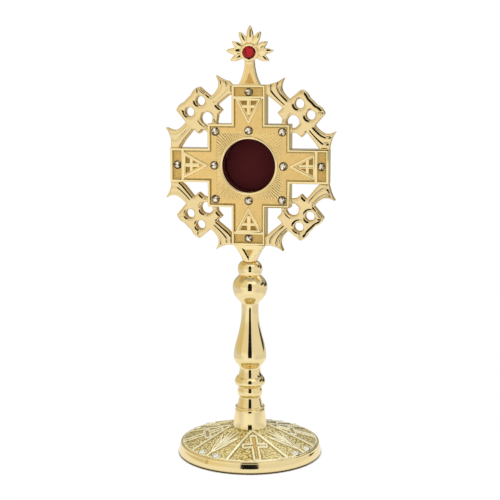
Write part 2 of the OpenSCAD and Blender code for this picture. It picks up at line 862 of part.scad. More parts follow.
module head_frame() {
  color(polished_gold)
    difference() {
      union() {
        difference() {
          head_slab(y_front, y_back) cross_2d();
          head_slab(y_front - past, y_field) cross_2d(rim_w);
          head_slab(y_inside, y_back + past) cross_2d(head_wall);
          head_slab(y_front - past, y_ground) four_ways() arm_grounds_2d();
        }
        head_slab(tracery_front, y_field + bond) four_ways() arm_tracery_2d();
        screw_bosses();
        difference() {
          head_slab(orn_front, orn_back) four_corners() corner_ornament_2d();
          head_slab(orn_front - past, orn_front + groove_d) four_corners() corner_grooves_2d();
          eye_dishes();
        }
        finial();
        bracket();
      }
      screw_holes();
      window_disc(y_field - past, y_inside + past, window_hole_r);
      at_crystals() stone_seat(crystal_d);
      at_front([0, finial_v], cup_front) stone_seat(red_stone_d);
      head_slab(neck_front - past, neck_front + triangle_drop)
        translate([0, arm_reach + rim_w / 2]) sunk_triangle_2d(arm_half * 0.26, finial_rise * 0.36);
      head_slab(-bracket_depth / 2 - past, -bracket_depth / 2 + triangle_drop)
        translate([0, -arm_reach - rim_w]) sunk_triangle_2d(arm_half * 0.34, -bracket_h * 0.62);
      translate([0, 0, head_bottom - past])
        cylinder(h = rod_grip + past, r = rod_hole_r);
    }
}

// Relic window

module window_bezel() {
  color(polished_gold)
    difference() {
      union() {
        window_disc(bezel_front, y_field, bezel_r);
        window_disc(y_field - bond, y_inside, window_hole_r - fit_clear);
      }
      window_disc(bezel_front - past, y_inside + past, window_r);
    }
}

module window_glass() {
  color([0.8, 0.85, 0.86, 0.35])
    window_disc(y_inside, y_inside + glass_t, glass_r);
}

// A round bar of the hinge between two heights, measured from the head's centre
module hinge_rod(z0, z1, r) {
  translate([hinge_x, hinge_y, head_z + z0])
    cylinder(h = z1 - z0, r = r);
}

// A knuckle with the web that joins it to the plate beside it
module fixed_knuckle(z0, z1) {
  hinge_rod(z0, z1, knuckle_r);
  translate([hinge_x - knuckle_r, y_back, head_z + z0])
    cube([knuckle_d, hinge_y - y_back, z1 - z0]);
}

module relic_capsule() {
  knuckle_start = door_knuckle / 2 + knuckle_gap;
  color(satin_gold)
    difference() {
      union() {
        window_disc(y_inside, flange_back, capsule_r);
        window_disc(y_back, flange_back, flange_r);
        translate([hinge_x - knuckle_r, y_back, head_z - ear_half])
          cube([-hinge_x, flange_t, hinge_len]);
        fixed_knuckle(knuckle_start, ear_half);
        fixed_knuckle(-ear_half, -knuckle_start);
      }
      window_disc(y_inside - past, glass_back, glass_r + fit_clear);
      window_disc(y_inside, flange_back + past, chamber_r);
      hinge_rod(-hinge_len, hinge_len, pin_d / 2);
    }
}

module velvet_sleeve() {
  color(velvet)
    difference() {
      window_disc(glass_back, flange_back, sleeve_r);
      window_disc(glass_back - past, flange_back + past, sleeve_r - sleeve_t);
    }
}

module back_plate() {
  color(polished_gold)
    difference() {
      head_slab(y_plate, y_back) cross_2d(head_wall + fit_clear);
      window_disc(y_plate - past, y_back + past, capsule_r + fit_clear);
      head_slab(y_plate - past, y_back + past)
        four_ways() translate([0, boss_v]) circle(r = screw_d / 2 + screw_clear);
    }
}

// A slotted round-head screw, with its shank towards -Z
module slotted_screw() {
  difference() {
    union() {
      translate([0, 0, -screw_len]) cylinder(h = screw_len, r = screw_d / 2);
      cylinder(h = screw_head_t, r1 = screw_head_r, r2 = screw_head_r * 0.7);
    }
    translate([0, 0, screw_head_t])
      cube([3 * screw_head_r, screw_d * 0.2, screw_head_t], center = true);
  }
}

module plate_screws() {
  color(steel)
    for (d = [[1, 0], [0, 1], [-1, 0], [0, -1]])
      translate([d[0] * boss_v, y_back, head_z + d[1] * boss_v])
        rotate([-90, 0, 0]) slotted_screw();
}

// Rear door

module rear_door() {
  crown = curve([0, door_t + door_crown], [door_r * 0.5, door_t + door_crown],
    [door_r * 0.85, door_t + door_crown * 0.5], [door_r, door_t], 10);
  color(polished_gold)
    difference() {
      union() {
        translate([0, door_front, head_z])
          rotate([-90, 0, 0])
            rotate_extrude() polygon(concat([[0, 0]], crown, [[door_r, 0]]));
        translate([hinge_x, door_front, head_z - door_knuckle / 2])
          cube([-hinge_x - door_r * 0.8, door_t, door_knuckle]);
        translate([door_r * 0.9, door_front, head_z - tab_w / 2])
          cube([door_r * 0.1 + tab_out, door_t, tab_w]);
        hinge_rod(-door_knuckle / 2, door_knuckle / 2, knuckle_r);
      }
      hinge_rod(-hinge_len, hinge_len, pin_d / 2 + hinge_clear);
    }
}

module velvet_pad() {
  edge = pad_t * 0.4;
  profile = curve([pad_r, edge], [pad_r, pad_t * 0.8], [pad_r - 0.4, pad_t * 0.92],
    [pad_r - 1.2, pad_t * 0.94], 6);
  color(velvet)
    translate([0, door_front, head_z])
      rotate([90, 0, 0])
        rotate_extrude() polygon(concat([[0, 0], [pad_r, 0]], profile, [[0, pad_t]]));
}

module hinge_pin() {
  color(satin_gold)
    hinge_rod(-ear_half - pin_proud, ear_half + pin_proud, pin_d / 2);
}

foot();
foot_stones();
rod_nut();
rod_washer();
tie_rod();
foot_collar();
stem_spool();
stem_knop();
stem_baluster();
head_knob();
head_frame();
crystals();
finial_stone();
window_bezel();
window_glass();
relic_capsule();
velvet_sleeve();
back_plate();
plate_screws();
rear_door();
velvet_pad();
hinge_pin();
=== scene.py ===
import math
from functools import partialmethod

import bmesh
import bpy
import numpy as np
from mathutils import Matrix, Vector
from mathutils.geometry import delaunay_2d_cdt


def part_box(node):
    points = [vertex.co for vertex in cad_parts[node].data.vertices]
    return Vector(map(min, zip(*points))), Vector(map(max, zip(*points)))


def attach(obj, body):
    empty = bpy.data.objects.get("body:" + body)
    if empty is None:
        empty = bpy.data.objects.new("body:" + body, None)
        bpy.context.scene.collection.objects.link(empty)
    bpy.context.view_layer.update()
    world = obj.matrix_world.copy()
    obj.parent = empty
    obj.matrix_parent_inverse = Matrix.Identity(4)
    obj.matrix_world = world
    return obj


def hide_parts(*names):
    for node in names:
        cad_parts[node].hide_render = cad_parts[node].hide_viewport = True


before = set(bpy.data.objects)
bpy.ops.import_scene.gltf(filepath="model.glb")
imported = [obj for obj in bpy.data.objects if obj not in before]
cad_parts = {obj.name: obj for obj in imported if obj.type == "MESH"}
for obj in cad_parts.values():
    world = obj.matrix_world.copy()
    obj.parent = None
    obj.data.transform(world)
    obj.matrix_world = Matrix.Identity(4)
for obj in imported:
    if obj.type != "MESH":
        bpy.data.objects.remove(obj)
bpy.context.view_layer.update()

MM = 0.001
FULL_TURN = 2 * math.pi


def node_box(name):
    """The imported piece's box, in millimetres."""
    low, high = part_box(name)
    return np.array(low) / MM, np.array(high) / MM


# Sizes, in millimetres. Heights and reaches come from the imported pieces.
FOOT_R = node_box("foot")[1][0]
HEAD_Z = sum(node_box("window_glass"))[2] / 2
TOP_Z = node_box("head_frame")[1][2]

BAND_TOP_R = FOOT_R - 0.8
BAND_TOP_Z = 4.9
DOME_R = BAND_TOP_R - 1.0
DOME_EDGE_Z = 5.9
SEAT_Z = 14.0
SEAT_R = 9.15
FOOT_TURN = 17.0
PANEL_COUNT = 4
RIB_ANGLE = 26.0
STONE_ANGLE = 8.0
FOOT_STONE_D = 3.2
FOOT_STONE_R = DOME_R - FOOT_STONE_D / 2 - 0.4
DOME_SLOPE = (SEAT_Z - DOME_EDGE_Z) / (DOME_R - SEAT_R)
ROD_R = 2.0
ROD_HOLE_R = 2.1

ARM_REACH = 40.5
ARM_HALF = 8.6
SQUARE_HALF = 21.0
RIM_W = 1.4
FIELD_INSET = RIM_W + 0.45
WALL = 1.8
Y_FRONT = -4.5
Y_FIELD = -3.7
Y_GROUND = -3.2
Y_BACK = 4.5
PLATE_T = 1.2
Y_PLATE = Y_BACK - PLATE_T
PANEL_V = 34.8
PANEL_INSET = RIM_W + 0.55
PANEL_CORNER = 0.6
TRACERY_W = 1.3
TRACERY_TOP = 33.5
TRACERY_HALF = 6.7
TRACERY_H = 13.0

WINDOW_R = 13.4
BEZEL_R = 14.9
PANE_R = 15.2
CAPSULE_R = 16.45
CHAMBER_R = 14.5
FLANGE_R = 18.85
FLANGE_BACK = 5.5
DOOR_FRONT = 5.6
DOOR_R = 16.65
DOOR_T = 1.5
DOOR_CROWN = 0.8
PAD_R = 13.6
HINGE_X = -18.65
HINGE_Y = 7.2
KNUCKLE_R = 1.5
PIN_R = 0.8

CRYSTAL_D = 4.0
SEAT_RING_R = CRYSTAL_D / 2 + 0.22
SEAT_DEPTH = 1.3
INNER_CRYSTAL = (0, 17.7)
CORNER_CRYSTAL = (17.1, 17.1)
END_CRYSTAL = (0, 36.95)
RED_STONE_D = 6.5
FINIAL_V = 56.3
CUP_R = 4.4
SCREW_V = 29.675


# Plain geometry

def curve(a, b, c, d, n=16):
    """Points along a cubic curve from a to d, with the handles b and c."""
    t = np.linspace(0, 1, n + 1)[:, None]
    s = 1 - t
    a, b, c, d = (np.asarray(p, float) for p in (a, b, c, d))
    return s ** 3 * a + 3 * s * s * t * b + 3 * s * t * t * c + t ** 3 * d


def joined(*runs):
    return np.concatenate([np.asarray(run, float) for run in runs])


def around(reach, degrees):
    """A place at a reach from the origin, turned from the first axis towards the second."""
    angle = math.radians(degrees)
    return np.array([reach * math.cos(angle), reach * math.sin(angle)])


def ring(centre, radius, count):
    angle = np.arange(count) * FULL_TURN / count
    return np.stack([centre[0] + radius * np.cos(angle), centre[1] + radius * np.sin(angle)], axis=1)


def turned_way(points, quarter):
    """Points of the upper arm, turned to one of the four arms."""
    points = np.asarray(points, float)
    for _ in range(quarter):
        points = np.stack([points[:, 1], -points[:, 0]], axis=1)
    return points


def segment_distance(u, v, a, b):
    """Distance to the segment from a to b, and how far along it the nearest point lies."""
    du, dv = b[0] - a[0], b[1] - a[1]
    along = np.clip(((u - a[0]) * du + (v - a[1]) * dv) / (du * du + dv * dv + 1e-12), 0, 1)
    return np.hypot(u - a[0] - along * du, v - a[1] - along * dv), along


def line_distance(u, v, points):
    """Distance to a line of points, and how far along the line the nearest point lies."""
    points = np.asarray(points)
    lengths = np.linalg.norm(np.diff(points, axis=0), axis=1)
    starts = np.concatenate([[0], np.cumsum(lengths)])
    best, where = np.full(np.shape(u), 1e9), np.zeros(np.shape(u))
    for i, length in enumerate(lengths):
        distance, along = segment_distance(u, v, points[i], points[i + 1])
        where = np.where(distance < best, (starts[i] + along * length) / starts[-1], where)
        best = np.minimum(best, distance)
    return best, where


def outline_field(u, v, points):
    """Signed distance to a closed outline, less than nothing inside."""
    best, inside = np.full(np.shape(u), 1e9), np.zeros(np.shape(u), bool)
    for a, b in zip(points, np.roll(points, -1, axis=0)):
        best = np.minimum(best, segment_distance(u, v, a, b)[0])
        if a[1] != b[1]:
            crosses = (a[1] > v) != (b[1] > v)
            inside ^= crosses & (u < (b[0] - a[0]) * (v - a[1]) / (b[1] - a[1]) + a[0])
    return np.where(inside, -best, best)


def soft_min(a, b, k):
    h = np.maximum(k - np.abs(a - b), 0) / k
    return np.minimum(a, b) - h * h * k / 4


def soft_max(a, b, k):
    return -soft_min(-a, -b, k)


def eased(part):
    """A share held between nothing and one, with soft ends."""
    part = np.clip(part, 0, 1)
    return part * part * (3 - 2 * part)


def hump(distance, width):
    """A round ridge: one on its line, nothing from width on."""
    return np.sqrt(np.clip(1 - (distance / width) ** 2, 0, 1))


def flat_ridge(distance, half, bevel):
    """A flat-topped ridge with soft sides: one within half of its line, nothing past its bevel."""
    return eased((half + bevel - distance) / bevel)


def bell(distance, width):
    return np.exp(-(distance / width) ** 2)


def rounded(rise, depth, edge):
    """A height with a rounded edge: lower by edge at the rim, and full from edge inwards."""
    return rise - edge * (1 - np.sqrt(1 - (1 - np.clip(depth / edge, 0, 1)) ** 2))


# Meshes

def new_mesh(name, points, faces, materials):
    mesh = bpy.data.meshes.new(name)
    mesh.from_pydata(np.asarray(points).tolist(), [], faces)
    for material in materials:
        mesh.materials.append(material)
    return mesh


def placed(name, data):
    """An object of a mesh or camera, linked into the scene."""
    made = bpy.data.objects.new(name, data)
    bpy.context.scene.collection.objects.link(made)
    return made


class Shape:
    """Points and faces of one piece, in millimetres, with a material slot per face."""

    def __init__(self):
        self.points, self.faces, self.slots, self.normals = [], [], [], []
        self.count = 0

    def add(self, points, faces, slot=0, normals=None):
        self.points.append(np.asarray(points, float))
        self.faces += [[int(i) + self.count for i in face] for face in faces]
        self.slots += np.broadcast_to(slot, len(faces)).tolist()
        if normals is not None:
            self.normals.append(normals)
        self.count += len(points)
        return self

    def piece(self, name, materials, body="stand", replaces=(), slot="polished_gold", sharp=30, **marks):
        """Makes the object. Edges over sharp degrees stay hard, and marks are values of its points."""
        mesh = new_mesh(name, np.concatenate(self.points) * MM, self.faces, materials)
        mesh.polygons.foreach_set("material_index", self.slots)
        if sharp or self.normals:
            mesh.polygons.foreach_set("use_smooth", [True] * len(mesh.polygons))
        if sharp:
            mesh.set_sharp_from_angle(angle=math.radians(sharp))
        for mark, values in marks.items():
            layer = mesh.attributes.new(mark, "FLOAT", "POINT")
            layer.data.foreach_set("value", np.asarray(values, np.float32))
        if self.normals:
            mesh.normals_split_custom_set_from_vertices(np.concatenate(self.normals).tolist())
        mesh.update()
        piece = placed(name, mesh)
        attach(piece, body)
        if replaces:
            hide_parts(*replaces)
        return piece


def grid_faces(rows):
    """Faces between rows of point numbers, each row closed round."""
    faces = []
    for low, high in zip(rows, rows[1:]):
        for i in range(len(low)):
            j = (i + 1) % len(low)
            faces.append(list(dict.fromkeys((low[i], low[j], high[j], high[i]))))
    return faces


def lathe(profile, count=144, closed=False):
    """Points and faces of a profile of (radius, height) turned about the upright axis.

    The profile runs up the outside, so that the faces look outwards."""
    points, rows = [], []
    for radius, height in profile:
        start = len(points)
        if radius < 1e-6:
            rows.append([start] * count)
            points.append((0.0, 0.0, height))
        else:
            rows.append(range(start, start + count))
            points += [(x, y, height) for x, y in ring((0, 0), radius, count)]
    if closed:
        rows.append(rows[0])
    return np.array(points, float), grid_faces(rows)


def build_lathe(name, source, profile, materials, slot, place=None, count=160, closed=False, sharp=30):
    """A turned piece of the stand; place carries its points to where it stands."""
    points, faces = lathe(profile, count, closed)
    shape = Shape().add(place(points) if place else points, faces)
    return shape.piece(name, materials, "stand", [source], slot, sharp)


def bevelled(radius, low, high, cut, rise):
    """Profile of a rod or disc with bevelled ends."""
    return [(0, low), (radius - cut, low), (radius, low + rise), (radius, high - rise),
            (radius - cut, high), (0, high)]


def dense(profile, longest=0.5):
    """The same profile with points added along its long straight runs."""
    points = [tuple(profile[0])]
    for a, b in zip(profile, profile[1:]):
        steps = max(1, math.ceil(math.dist(a, b) / longest))
        points += [(a[0] + (b[0] - a[0]) * k / steps, a[1] + (b[1] - a[1]) * k / steps)
                   for k in range(1, steps + 1)]
    return points


def facing_front(points):
    """Turned points with their axis laid along the head's depth, height running forward."""
    return np.stack([points[:, 0], -points[:, 2], points[:, 1] + HEAD_Z], axis=1)


def facing_back(points):
    return np.stack([-points[:, 0], points[:, 2], points[:, 1] + HEAD_Z], axis=1)


def on_head(flat, depth):
    """Points of the head's front, u to the right and v up, at a depth."""
    flat = np.asarray(flat, float)
    return np.stack([flat[:, 0], np.broadcast_to(depth, len(flat)), flat[:, 1] + HEAD_Z], axis=1)


def mitres(path, closed=True):
    """The way to the left at each point of a path, as long as its corner needs."""
    ahead = np.roll(path, -1, axis=0) - path
    if not closed:
        ahead[-1] = ahead[-2]
    ahead /= np.linalg.norm(ahead, axis=1)[:, None]
    after = np.stack([-ahead[:, 1], ahead[:, 0]], axis=1)
    before = np.roll(after, 1, axis=0)
    if not closed:
        before[0] = after[0]
    return (before + after) / np.clip(1 + np.sum(before * after, axis=1), 0.3, 2)[:, None]


def sweep(path, section, closed=True):
    """Carries a section of (offset to the left, depth) along a path of the head's front."""
    path, section = np.asarray(path, float), np.asarray(section)
    n, last = len(section), (len(path) - 1) * len(section)
    points = np.concatenate([on_head(p + m * section[:, :1], section[:, 1])
                             for p, m in zip(path, mitres(path, closed))])
    faces = []
    for i in range(len(path) if closed else len(path) - 1):
        a, b = i * n, (i + 1) % len(path) * n
        faces += [[a + k, a + k + 1, b + k + 1, b + k] for k in range(n - 1)]
    if not closed:
        faces += [list(range(n)), list(range(last, last + n))[::-1]]
    return points, faces


def ridge_section(half, base, top, n=10, power=2.4):
    """Section of a rounded ridge, from its left foot over the top to its right foot."""
    across = np.cos(np.linspace(0, math.pi, n + 1))
    rise = np.clip(1 - np.abs(across) ** power, 0, 1) ** (1 / power)
    return np.stack([half * across, base + (top - base) * rise], axis=1)


def linked(loops):
    """Points of closed loops, and the edges round them."""
    points, edges = [], []
    for loop in loops:
        start, n = len(points), len(loop)
        points += np.asarray(loop, float).tolist()
        edges += [(start + i, start + (i + 1) % n) for i in range(n)]
    return points, edges


def triangulated(points, edges):
    """Points and triangles that keep the edges, and the triangles' middles."""
    found = delaunay_2d_cdt([Vector(p) for p in points], edges, [], 0, 1e-6)
    flat, triangles = np.array([tuple(p) for p in found[0]]), np.array(found[2])
    return flat, triangles, flat[triangles].mean(axis=1)


def fill(loops):
    """Triangles that fill a set of closed loops, with holes where loops lie inside others."""
    flat, triangles, middle = triangulated(*linked(loops))
    inside = np.zeros(len(middle), bool)
    for loop in loops:
        inside ^= outline_field(middle[:, 0], middle[:, 1], np.asarray(loop)) < 0
    return flat, triangles[inside]


def contours(field, us, vs, level):
    """Closed loops where a sampled field crosses a level."""
    inside = field < level
    links = {}
    mixed = inside[:-1, :-1].astype(int) + inside[1:, :-1] + inside[:-1, 1:] + inside[1:, 1:]

    def crossing(i, j, upright):
        k, m = (i + 1, j) if upright else (i, j + 1)
        part = (level - field[i, j]) / (field[k, m] - field[i, j])
        if upright:
            return us[j], vs[i] + part * (vs[k] - vs[i])
        return us[j] + part * (us[m] - us[j]), vs[i]

    for i, j in zip(*np.nonzero((mixed > 0) & (mixed < 4))):
        corners = [inside[i, j], inside[i, j + 1], inside[i + 1, j + 1], inside[i + 1, j]]
        sides = [(i, j, False), (i, j + 1, True), (i + 1, j, False), (i, j, True)]
        enters = [sides[k] for k in range(4) if corners[k] and not corners[(k + 1) % 4]]
        leaves = [sides[k] for k in range(4) if not corners[k] and corners[(k + 1) % 4]]
        if len(enters) == 2:
            middle = field[i:i + 2, j:j + 2].mean() < level
            if middle == (sides.index(leaves[0]) < sides.index(enters[0])):
                leaves = leaves[::-1]
        links.update(zip(leaves, enters))
    loops = []
    while links:
        start, side = links.popitem()
        loop = [start]
        while side != start and side in links:
            loop.append(side)
            side = links.pop(side)
        if len(loop) > 5:
            loops.append(np.array([crossing(*s) for s in loop]))
    return loops


def even_loop(loop, spacing):
    """The same loop with points at an even spacing."""
    closed = np.concatenate([loop, loop[:1]])
    lengths = np.linalg.norm(np.diff(closed, axis=0), axis=1)
    run = np.concatenate([[0], np.cumsum(lengths)])
    count = max(8, int(run[-1] / spacing))
    marks = np.arange(count) * run[-1] / count
    return np.stack([np.interp(marks, run, closed[:, k]) for k in (0, 1)], axis=1)


def flat_at(depth):
    """A function for a plain side of a relief."""
    return lambda u, v: np.full(np.shape(u), depth)


def relief(field, height, back, box, levels, spacing, step=0.12):
    """A cast ornament: field bounds it, height is its front and back its rear, as depths.

    Returns points, faces and normals, with rings of points at levels inside the outline,
    so that its rounded edge runs evenly round it."""
    us = np.arange(box[0], box[2] + step, step)
    vs = np.arange(box[1], box[3] + step, step)
    sampled = field(*np.meshgrid(us, vs))
    points, edges = linked([even_loop(loop, spacing)
                            for level in levels for loop in contours(sampled, us, vs, -level)])
    inner_u, inner_v = np.meshgrid(np.arange(box[0], box[2], spacing), np.arange(box[1], box[3], spacing))
    deep = field(inner_u, inner_v) < -(levels[-1] + 0.6 * spacing)
    points += np.stack([inner_u[deep], inner_v[deep]], axis=1).tolist()
    flat, triangles, middle = triangulated(points, edges)
    triangles = triangles[field(middle[:, 0], middle[:, 1]) < 0]
    u, v = flat[:, 0], flat[:, 1]
    n = len(flat)

    def slope(function, e=0.03):
        return ((function(u + e, v) - function(u - e, v)) / (2 * e),
                (function(u, v + e) - function(u, v - e)) / (2 * e))

    def side(function, sign):
        across, up = slope(function)
        normal = np.stack([across * sign, np.full(n, -sign), up * sign], axis=1)
        return on_head(flat, function(u, v)), normal / np.linalg.norm(normal, axis=1)[:, None]

    front, front_normal = side(height, 1.0)
    rear, rear_normal = side(back, -1.0)
    out_u, out_v = slope(field)
    out = np.stack([out_u, np.zeros(n), out_v], axis=1)
    out /= np.maximum(np.linalg.norm(out, axis=1), 1e-9)[:, None]
    directed = np.concatenate([triangles[:, [0, 1]], triangles[:, [1, 2]], triangles[:, [2, 0]]])
    known = set(map(tuple, directed.tolist()))
    rim = sorted((a, b) for a, b in known if (b, a) not in known)
    faces = triangles.tolist() + (triangles[:, ::-1] + n).tolist()
    faces += [[a + 2 * n, a + 3 * n, b + 3 * n, b + 2 * n] for a, b in rim]
    points = np.concatenate([front, rear, front, rear])
    normals = np.concatenate([front_normal, rear_normal, out, out])
    used = np.unique([i for face in faces for i in face])
    number = np.full(len(points), -1)
    number[used] = np.arange(len(used))
    return points[used], [number[face].tolist() for face in faces], normals[used]


def face_middles(points, faces):
    """The middles of faces, as u, v and depth of the head's front."""
    middle = np.array([points[face].mean(axis=0) for face in faces])
    return middle[:, 0], middle[:, 2] - HEAD_Z, middle[:, 1]


# Materials

class Graph:
    """A node tree, with short ways to add the nodes that are used here."""

    def __init__(self, owner, coordinates="Object"):
        owner.use_nodes = True
        self.tree = owner.node_tree
        self.tree.nodes.clear()
        self.place = self.node("ShaderNodeTexCoord").outputs[coordinates]

    def put(self, socket, value):
        if isinstance(value, bpy.types.NodeSocket):
            self.tree.links.new(value, socket)
        else:
            socket.default_value = (*value, 1.0) if socket.type == "RGBA" else value

    def give(self, made, **inputs):
        for name, value in inputs.items():
            self.put(made.inputs[name.replace("_", " ")], value)

    def node(self, kind, *values, setting=None, **inputs):
        """A shader node with one setting, and its inputs set or linked by their order or name."""
        made = self.tree.nodes.new(kind)
        if setting:
            setattr(made, *setting)
        for socket, value in zip(made.inputs, values):
            self.put(socket, value)
        self.give(made, **inputs)
        return made

    def show(self, shader, output="ShaderNodeOutputMaterial"):
        self.node(output, Surface=shader.outputs[0])

    def maths(self, operation, *values):
        return self.node("ShaderNodeMath", *values, setting=("operation", operation)).outputs[0]

    def times(self, first, *others):
        for value in others:
            first = self.maths("MULTIPLY", first, value)
        return first

    plus = partialmethod(maths, "ADD")
    minus = partialmethod(maths, "SUBTRACT")
    most = partialmethod(maths, "MAXIMUM")
    size = partialmethod(maths, "ABSOLUTE")

    def spread(self, value, low, high, to_low=0.0, to_high=1.0, style="LINEAR"):
        """A value carried from one range to another, and held at its ends."""
        return self.node("ShaderNodeMapRange", value, low, high, to_low, to_high,
                         setting=("interpolation_type", style)).outputs[0]

    def blend(self, part, first, second):
        made = self.node("ShaderNodeMix", setting=("data_type", "RGBA"), Factor=part)
        for socket, colour in zip([s for s in made.inputs if s.type == "RGBA"], (first, second)):
            self.put(socket, colour)
        return next(s for s in made.outputs if s.type == "RGBA")

    def noise(self, size_mm, detail=2.0):
        """Noise with blots of a size, from nothing to one."""
        return self.node("ShaderNodeTexNoise", Vector=self.place, Scale=1 / (size_mm * MM),
                         Detail=detail).outputs[0]

    def bump(self, height, depth_mm, **normal):
        return self.node("ShaderNodeBump", Height=height, Distance=depth_mm * MM, Strength=1.0,
                         **normal).outputs[0]

    def mark(self, name):
        return self.node("ShaderNodeAttribute", setting=("attribute_name", name)).outputs["Fac"]

    def axes(self):
        return list(self.node("ShaderNodeSeparateXYZ", Vector=self.place).outputs)

    def azimuth(self):
        """The way round from the front towards the right."""
        x, y, _ = self.axes()
        return self.maths("ARCTAN2", x, self.times(y, -1.0))


class Finish(Graph):
    """A material of one principled shader."""

    def __init__(self, name, **values):
        self.made = bpy.data.materials.new(name)
        super().__init__(self.made)
        self.shader = self.node("ShaderNodeBsdfPrincipled", **values)
        self.show(self.shader)

    def set(self, **values):
        self.give(self.shader, **values)
        return self.made


GOLD = (0.92, 0.757, 0.415), (0.91, 0.732, 0.38)
ORNAMENT_TONES = (0.87, 0.70, 0.375), (0.80, 0.62, 0.31)
SATIN_TONES = (1.0, 0.75, 0.345), (0.97, 0.70, 0.29)
ARM_SATIN = (0.89, 0.62, 0.24)
# Browner gold of sunk places and side walls, a painted shade
SUNK_SHADE_TONES = (0.84, 0.575, 0.19), (0.70, 0.45, 0.135)
# Gold of the rim's inner groove, darker to paint the shade in it
GROOVE_SHADE_TONES = (0.72, 0.57, 0.25), (0.58, 0.45, 0.18)
# Dark gold of the tracery's openings and the stones' seats, a painted shade
HOLLOW_SHADE_TONES = (0.50, 0.32, 0.085), (0.36, 0.21, 0.045)
RAY_LINE = (0.60, 0.40, 0.12)
# Light tone of the stipple's beads, and the dark tone of the pits between them, a painted shade
STIPPLE_AND_PIT_SHADE = (0.95, 0.83, 0.42), (0.40, 0.30, 0.10)
# Cream of the relief's crests, a painted highlight
CREST_HIGHLIGHT = (1.0, 0.96, 0.70)
# Dark gold beside the relief's raised lines, a painted shade
CAVITY_SHADE = (0.34, 0.24, 0.07)
EDGE_SHADE = (0.10, 0.065, 0.02)
STEEL_TONES = (0.55, 0.55, 0.57), (0.46, 0.46, 0.48)
NAP = (0.088, 0.0131, 0.0155), (0.078, 0.0117, 0.0138)
WORN_NAP = (0.070, 0.0105, 0.0135)
VELVET_SHEEN = (0.5, 0.08, 0.09)
# The part of a noise's range that holds most of its values
MOST = (0.3, 0.7)
# The engraved square round the window, half its width, and its rays
ENGRAVED_HALF = 16.6
RAY_COUNT = 104.0
RAY_WANDER = 0.05
RAY_SHADE = 0.32
RAY_DEPTH = 0.055
STIPPLE_SIZE = 1.15
FOIL_ROUGH = 0.08


def metal(name, tones, cloud, grain, rough, waves=None):
    """A metal of two tones in clouds, its roughness by a grain and its unevenness by waves.

    Each of them is a size in millimetres and a detail, and waves have a depth too."""
    m = Finish(name, Metallic=1.0)
    m.set(Base_Color=m.blend(m.noise(*cloud), *tones),
          Roughness=m.spread(m.noise(*grain), *MOST, *rough))
    if waves:
        m.set(Normal=m.bump(m.noise(*waves[:2]), waves[2]))
    return m.made


def shaded_sunk_gold(name, tones):
    """Matt gold for sunk places, with a browner tone that paints the shade falling in them."""
    return metal(name, tones, (1.2, 4), (1.2, 4), (0.36, 0.52), (0.5, 3, 0.05))


def engraved_field():
    """Satin gold with fine rays engraved round the window, inside a square line."""
    m = Finish("engraved field", Metallic=1.0)
    across, _, up = m.axes()
    up = m.minus(up, HEAD_Z * MM)
    wide = m.most(m.size(across), m.size(up))
    angle = m.plus(m.maths("ARCTAN2", up, across), m.times(m.noise(2.5), RAY_WANDER))
    panel = m.spread(wide, (ENGRAVED_HALF - 0.2) * MM, (ENGRAVED_HALF + 0.2) * MM, 1.0, 0.0)
    rays = m.times(m.maths("SINE", m.times(angle, RAY_COUNT)), panel)
    tone = m.blend(m.noise(9, 3), *SATIN_TONES)
    tone = m.blend(m.spread(rays, 0.2, 0.95, 0.0, RAY_SHADE), tone, RAY_LINE)
    arms = m.spread(wide, (ENGRAVED_HALF - 0.2) * MM, (ENGRAVED_HALF + 0.6) * MM)
    off_line = m.size(m.minus(wide, ENGRAVED_HALF * MM))
    line = m.spread(off_line, 0.0, 0.35 * MM, -3.0, 0.0, "SMOOTHSTEP")
    lines = m.bump(m.plus(rays, line), RAY_DEPTH)
    return m.set(Base_Color=m.blend(arms, tone, ARM_SATIN),
                 Roughness=m.spread(m.noise(1.5, 4), *MOST, 0.26, 0.36),
                 Normal=m.bump(m.noise(0.35, 3), 0.012, Normal=lines))


def foot_gold():
    """Polished gold with a stippled ground, by the marks of the mesh: painted cream highlights on its
    crests, and painted shade in the stipple's pits, beside the ridges and along its bottom edge.
    """
    m = Finish("foot gold")
    ground, crest = m.mark("ground"), m.mark("crest")
    dots = m.node("ShaderNodeTexVoronoi", Vector=m.place, Scale=1 / (STIPPLE_SIZE * MM),
                  Randomness=0.9).outputs["Distance"]
    # Crests are painted with a cream highlight
    bright = m.blend(crest, m.blend(m.noise(14, 3), *GOLD), CREST_HIGHLIGHT)
    # Stippled ground, with painted shade in the pits between its beads
    tone = m.blend(ground, bright, m.blend(m.spread(dots, 0.36, 0.68), *STIPPLE_AND_PIT_SHADE))
    # Painted shade on the ground beside the ridges
    tone = m.blend(m.times(m.mark("cavity"), 0.75), tone, CAVITY_SHADE)
    above_edge = m.spread(m.axes()[2], 0.7 * MM, 1.15 * MM)
    # Crests and ground are less metallic, so that the painted highlight of the crests and the ground read
    # bright
    crest_and_ground_matt = m.most(crest, m.times(ground, 0.7))
    smooth = m.spread(m.noise(3, 4), *MOST, 0.06, 0.12)
    beads = m.times(m.spread(dots, 0.0, 0.75, 1.0, 0.0, "SMOOTHSTEP"), ground)
    return m.set(Base_Color=m.blend(above_edge, EDGE_SHADE, tone),
                 Metallic=m.spread(crest_and_ground_matt, 0.0, 1.0, 1.0, 0.40),
                 Roughness=m.plus(smooth, m.times(ground, 0.12)),
                 Normal=m.bump(beads, 0.14))


def clear_stone(name, tones, bending, clear=1.0, cloud=1.5):
    """A cut stone or a pane, clear or milky."""
    m = Finish(name, Roughness=0.0, IOR=bending, Transmission_Weight=clear)
    return m.set(Base_Color=m.blend(m.noise(cloud), *tones))


def foil(name, *tones):
    """The foil behind a cut stone: a bright one, or a dark one that paints dark reflections."""
    m = Finish(name, Metallic=1.0, Roughness=FOIL_ROUGH)
    return m.set(Base_Color=m.blend(m.noise(0.8), *tones))


